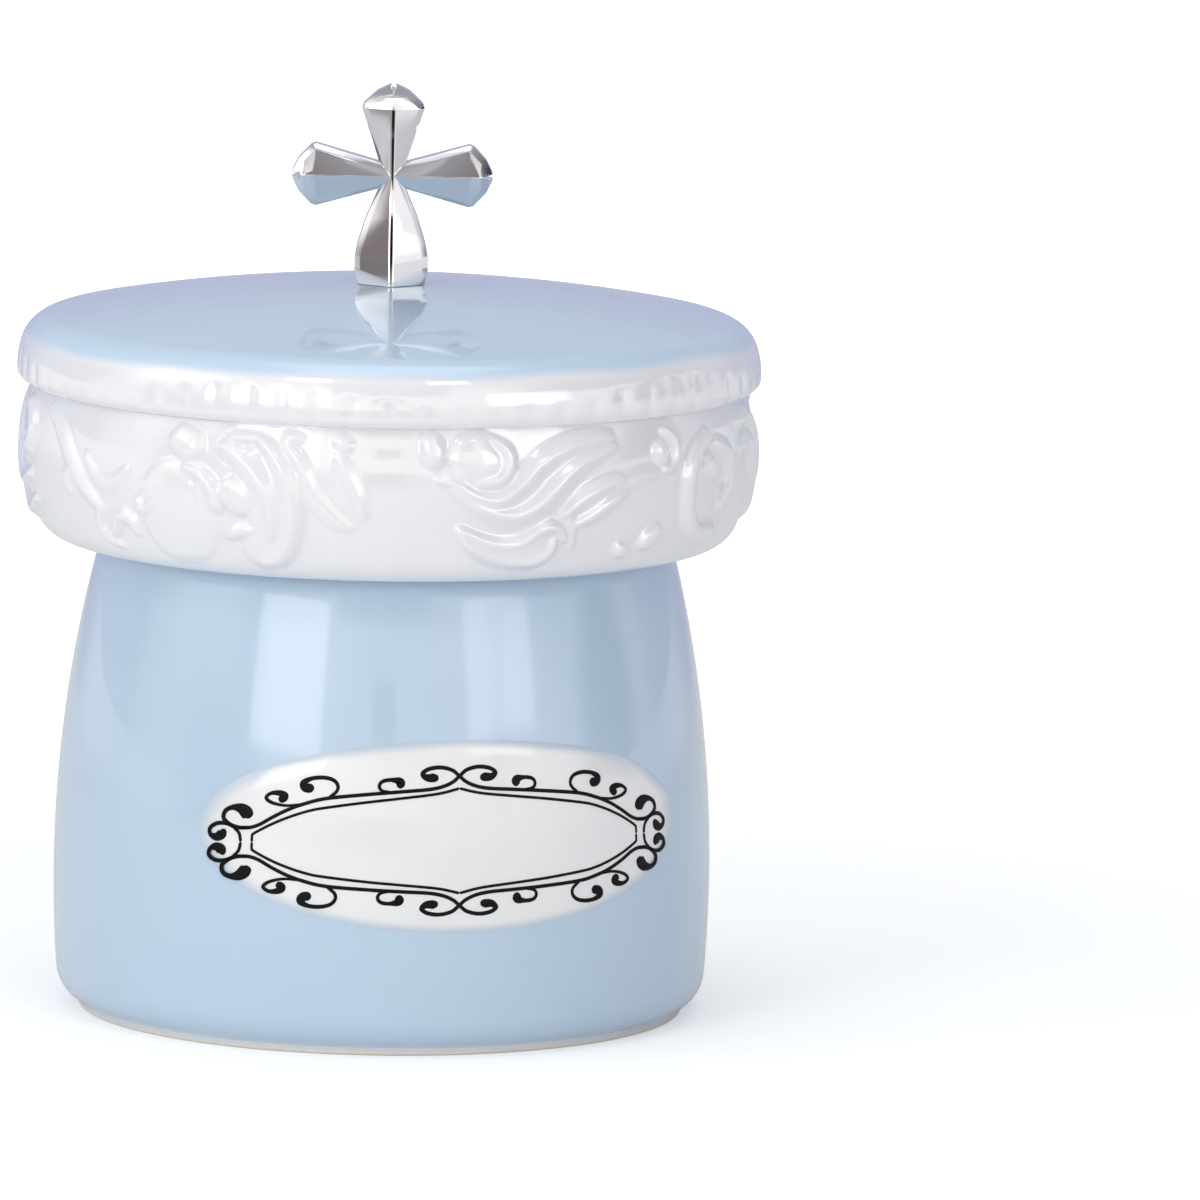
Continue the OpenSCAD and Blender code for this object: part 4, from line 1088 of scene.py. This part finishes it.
def make_floor():
    """A plain white floor that keeps the box's shadow, and isn't there when seen from below."""
    size = 6.0
    mesh = bpy.data.meshes.new("floor")
    corners = [(-size, -size, 0), (size, -size, 0), (size, size, 0), (-size, size, 0)]
    mesh.from_pydata(corners, [], [(0, 1, 2, 3)])
    floor = put("floor", mesh)
    material, tree, where = new_material("floor_white_paper")
    ray = add(tree, "ShaderNodeLightPath").outputs
    paper = add(tree, "ShaderNodeBsdfDiffuse", {"Color": rgb("#f4f4f4")})
    away = add(tree, "ShaderNodeVectorMath", {0: where}, operation="LENGTH").outputs["Value"]
    # to the camera the paper is just white round the box and blown out farther off
    brim = plus(tree, times(tree, ramp(tree, away, 0.07, 0.5), 0.5), 0.32)
    glow = add(tree, "ShaderNodeEmission", {"Color": (1, 1, 1, 1), "Strength": brim})
    lit = add(tree, "ShaderNodeAddShader", {0: paper, 1: glow})
    # mirrored in glaze and plating, the far floor is the room: bright at the sides, grey in front
    # to the left, lavender behind, with the dark camera in the middle of the front
    place = parts(tree, where)
    angle = maths(tree, "ARCTAN2", place["X"], times(tree, place["Y"], -1.0))

    def sector(turn, low, high):
        return ramp(tree, turn, radians(low), radians(high))

    grey = times(tree, sector(angle, -85, -66), sector(times(tree, angle, -1.0), -30, 0))
    tone = mix_colour(tree, sector(angle, -55, -40), (0.25, 0.24, 0.24, 1), (0.44, 0.43, 0.44, 1))
    room = mix_colour(tree, grey, (1.0, 1.0, 1.0, 1), tone)
    wide = maths(tree, "ABSOLUTE", angle)
    room = mix_colour(tree, sector(wide, 4, 9), (0.02, 0.02, 0.02, 1), room)
    room = mix_colour(tree, sector(wide, 128, 150), room, (0.48, 0.5, 0.68, 1))
    mirrored = add(tree, "ShaderNodeEmission", {"Color": room, "Strength": 1.0})
    far = times(tree, ramp(tree, away, 0.3, 0.5), ray["Is Glossy Ray"])
    seen = mix_shader(tree, ray["Is Camera Ray"], paper, lit)
    above = mix_shader(tree, far, seen, mirrored)
    clear = add(tree, "ShaderNodeBsdfTransparent")
    below = add(tree, "ShaderNodeNewGeometry").outputs["Backfacing"]
    mesh.materials.append(finished(material, mix_shader(tree, below, above, clear)))


# Azimuth and elevation in degrees, distance, width and height in metres, power in watts, and the
# share of each side over which it fades. Azimuth 0 is in front, positive to the right.
SOFTBOXES = {
    "key_softbox": (-35.5, 11, 0.9, 0.47, 0.26, 1.05, 0.1),
    "window_softbox": (43.5, 12, 0.9, 0.47, 0.26, 0.78, 0.14),
    "left_softbox": (-72, 25, 1.2, 0.9, 1.0, 2.8, 0.3),
    "high_softbox": (-30, 46, 1.0, 0.22, 0.18, 0.75, 0.15),
    "high_right_softbox": (22, 46, 1.0, 0.22, 0.18, 0.4, 0.15),
    "top_softbox": (0, 88, 1.0, 0.9, 0.9, 3.5, 0.3),
    "back_softbox": (180, 50, 1.2, 1.0, 0.6, 0.35, 0.3),
}
LIGHT_AIM = Vector((0, 0, 0.045))


def softbox(name, azimuth, elevation, distance, width, height, power, soft):
    """A softbox that looks at the box and fades towards its edges."""
    data = bpy.data.lights.new(name, "AREA")
    data.shape = "RECTANGLE"
    data.size, data.size_y = width, height
    data.energy = power
    data.use_nodes = True
    tree = data.node_tree
    tree.nodes.clear()
    spot = parts(tree, add(tree, "ShaderNodeNewGeometry").outputs["Parametric"])
    fade = 1.0
    for side in ("X", "Y"):
        for edge in (spot[side], minus(tree, 1.0, spot[side])):
            fade = times(tree, ramp(tree, edge, 0.0, soft), fade)
    glow = add(tree, "ShaderNodeEmission", {"Color": (1, 1, 1, 1), "Strength": fade})
    add(tree, "ShaderNodeOutputLight", {0: glow})
    a, e = radians(azimuth), radians(elevation)
    out = Vector((sin(a) * cos(e), -cos(a) * cos(e), sin(e)))
    light = put(name, data)
    light.location = LIGHT_AIM + out * distance
    light.rotation_euler = (-out).to_track_quat("-Z", "Y").to_euler()
    light.visible_camera = False


# Cards that only mirrored rays see, by the direction's Z from and to, its X from and to, and the
# colour: a dim one high in front, a black strip under it, a dim one left and a white one right.
CARDS = (
    (0.3, 0.64, -0.3, 0.3, "#787070"), (0.12, 0.21, -0.07, 0.07, "#050505"),
    (-0.1, 0.28, -0.97, -0.7, "#787070"), (-0.1, 0.28, 0.7, 0.97, "#e6e6e8"),
)
CARD_EDGE = 0.02


def make_light():
    """A pale room seen in the glaze, and softboxes round the box."""
    world = bpy.data.worlds.new("studio")
    bpy.context.scene.world = world
    world.use_nodes = True
    tree = world.node_tree
    tree.nodes.clear()
    ray = add(tree, "ShaderNodeLightPath").outputs
    towards = parts(tree, add(tree, "ShaderNodeTexCoord").outputs["Generated"])
    x, y, z = towards["X"], towards["Y"], towards["Z"]
    # warm white in front, greyer at the left, dim at the right, lavender behind, grey overhead
    left = ramp(tree, times(tree, x, -1.0), 0.3, 0.8)
    room = mix_colour(tree, left, rgb("#ece9e2"), rgb("#bdbeba"))
    room = mix_colour(tree, ramp(tree, x, 0.55, 0.75), room, rgb("#3c3748"))
    for *sides, colour in CARDS:
        card = ray["Is Glossy Ray"]
        for axis, least, most in ((z, *sides[:2]), (x, *sides[2:])):
            card = times(tree, card, ramp(tree, axis, least - CARD_EDGE, least + CARD_EDGE))
            card = times(tree, card, ramp(tree, minus(tree, most, axis), -CARD_EDGE, CARD_EDGE))
        room = mix_colour(tree, card, room, rgb(colour))
    behind = mix_colour(tree, ramp(tree, z, 0.15, 0.4), rgb("#989bb1"), rgb("#a3abaf"))
    room = mix_colour(tree, ramp(tree, y, 0.1, 0.6), room, behind)
    room = mix_colour(tree, ramp(tree, z, 0.3, 0.8), room, rgb("#93969a"))
    ambient = add(tree, "ShaderNodeBackground", {"Color": room, "Strength": 1.5})
    white = add(tree, "ShaderNodeBackground", {"Color": (1, 1, 1, 1), "Strength": 1.0})
    mixed = mix_shader(tree, ray["Is Camera Ray"], ambient, white)
    add(tree, "ShaderNodeOutputWorld", {"Surface": mixed})
    for name, setting in SOFTBOXES.items():
        softbox(name, *setting)


# --- build ---------------------------------------------------------------------------------

def main():
    scene = bpy.context.scene
    scene.view_settings.view_transform = "Standard"
    make_camera()
    make_floor()
    make_light()

    blue = pale_blue_glaze()
    jar = turned_body("jar_porcelain", jar_profile(), JAR_SEGMENTS, blue)
    panel = make_panel(fired_panel())
    ink = make_scroll_frame(black_enamel())
    lid = make_lid(lid_glazes())
    border = make_border(clear_glaze())
    cross = make_cross(bright_plating())

    for piece, body, slot, stands_for in (
        (jar, "jar_body", "blue_glaze", ["jar"]),
        (panel, "jar_body", "label_white", ["label_panel"]),
        (ink, "jar_body", "label_white", []),
        (lid, "lid_body", "blue_glaze", ["lid"]),
        (border, "lid_body", "white_glaze", ["relief_border"]),
        (cross, "lid_body", "silver_plate", ["cross"]),
    ):
        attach(piece, body)
        if stands_for:
            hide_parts(*stands_for)

    for node, material in (("cross_screw", zinc_plated_steel()), ("screw_washer", pressed_fibre())):
        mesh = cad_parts[node].data
        mesh.materials.clear()
        mesh.materials.append(material)


main()
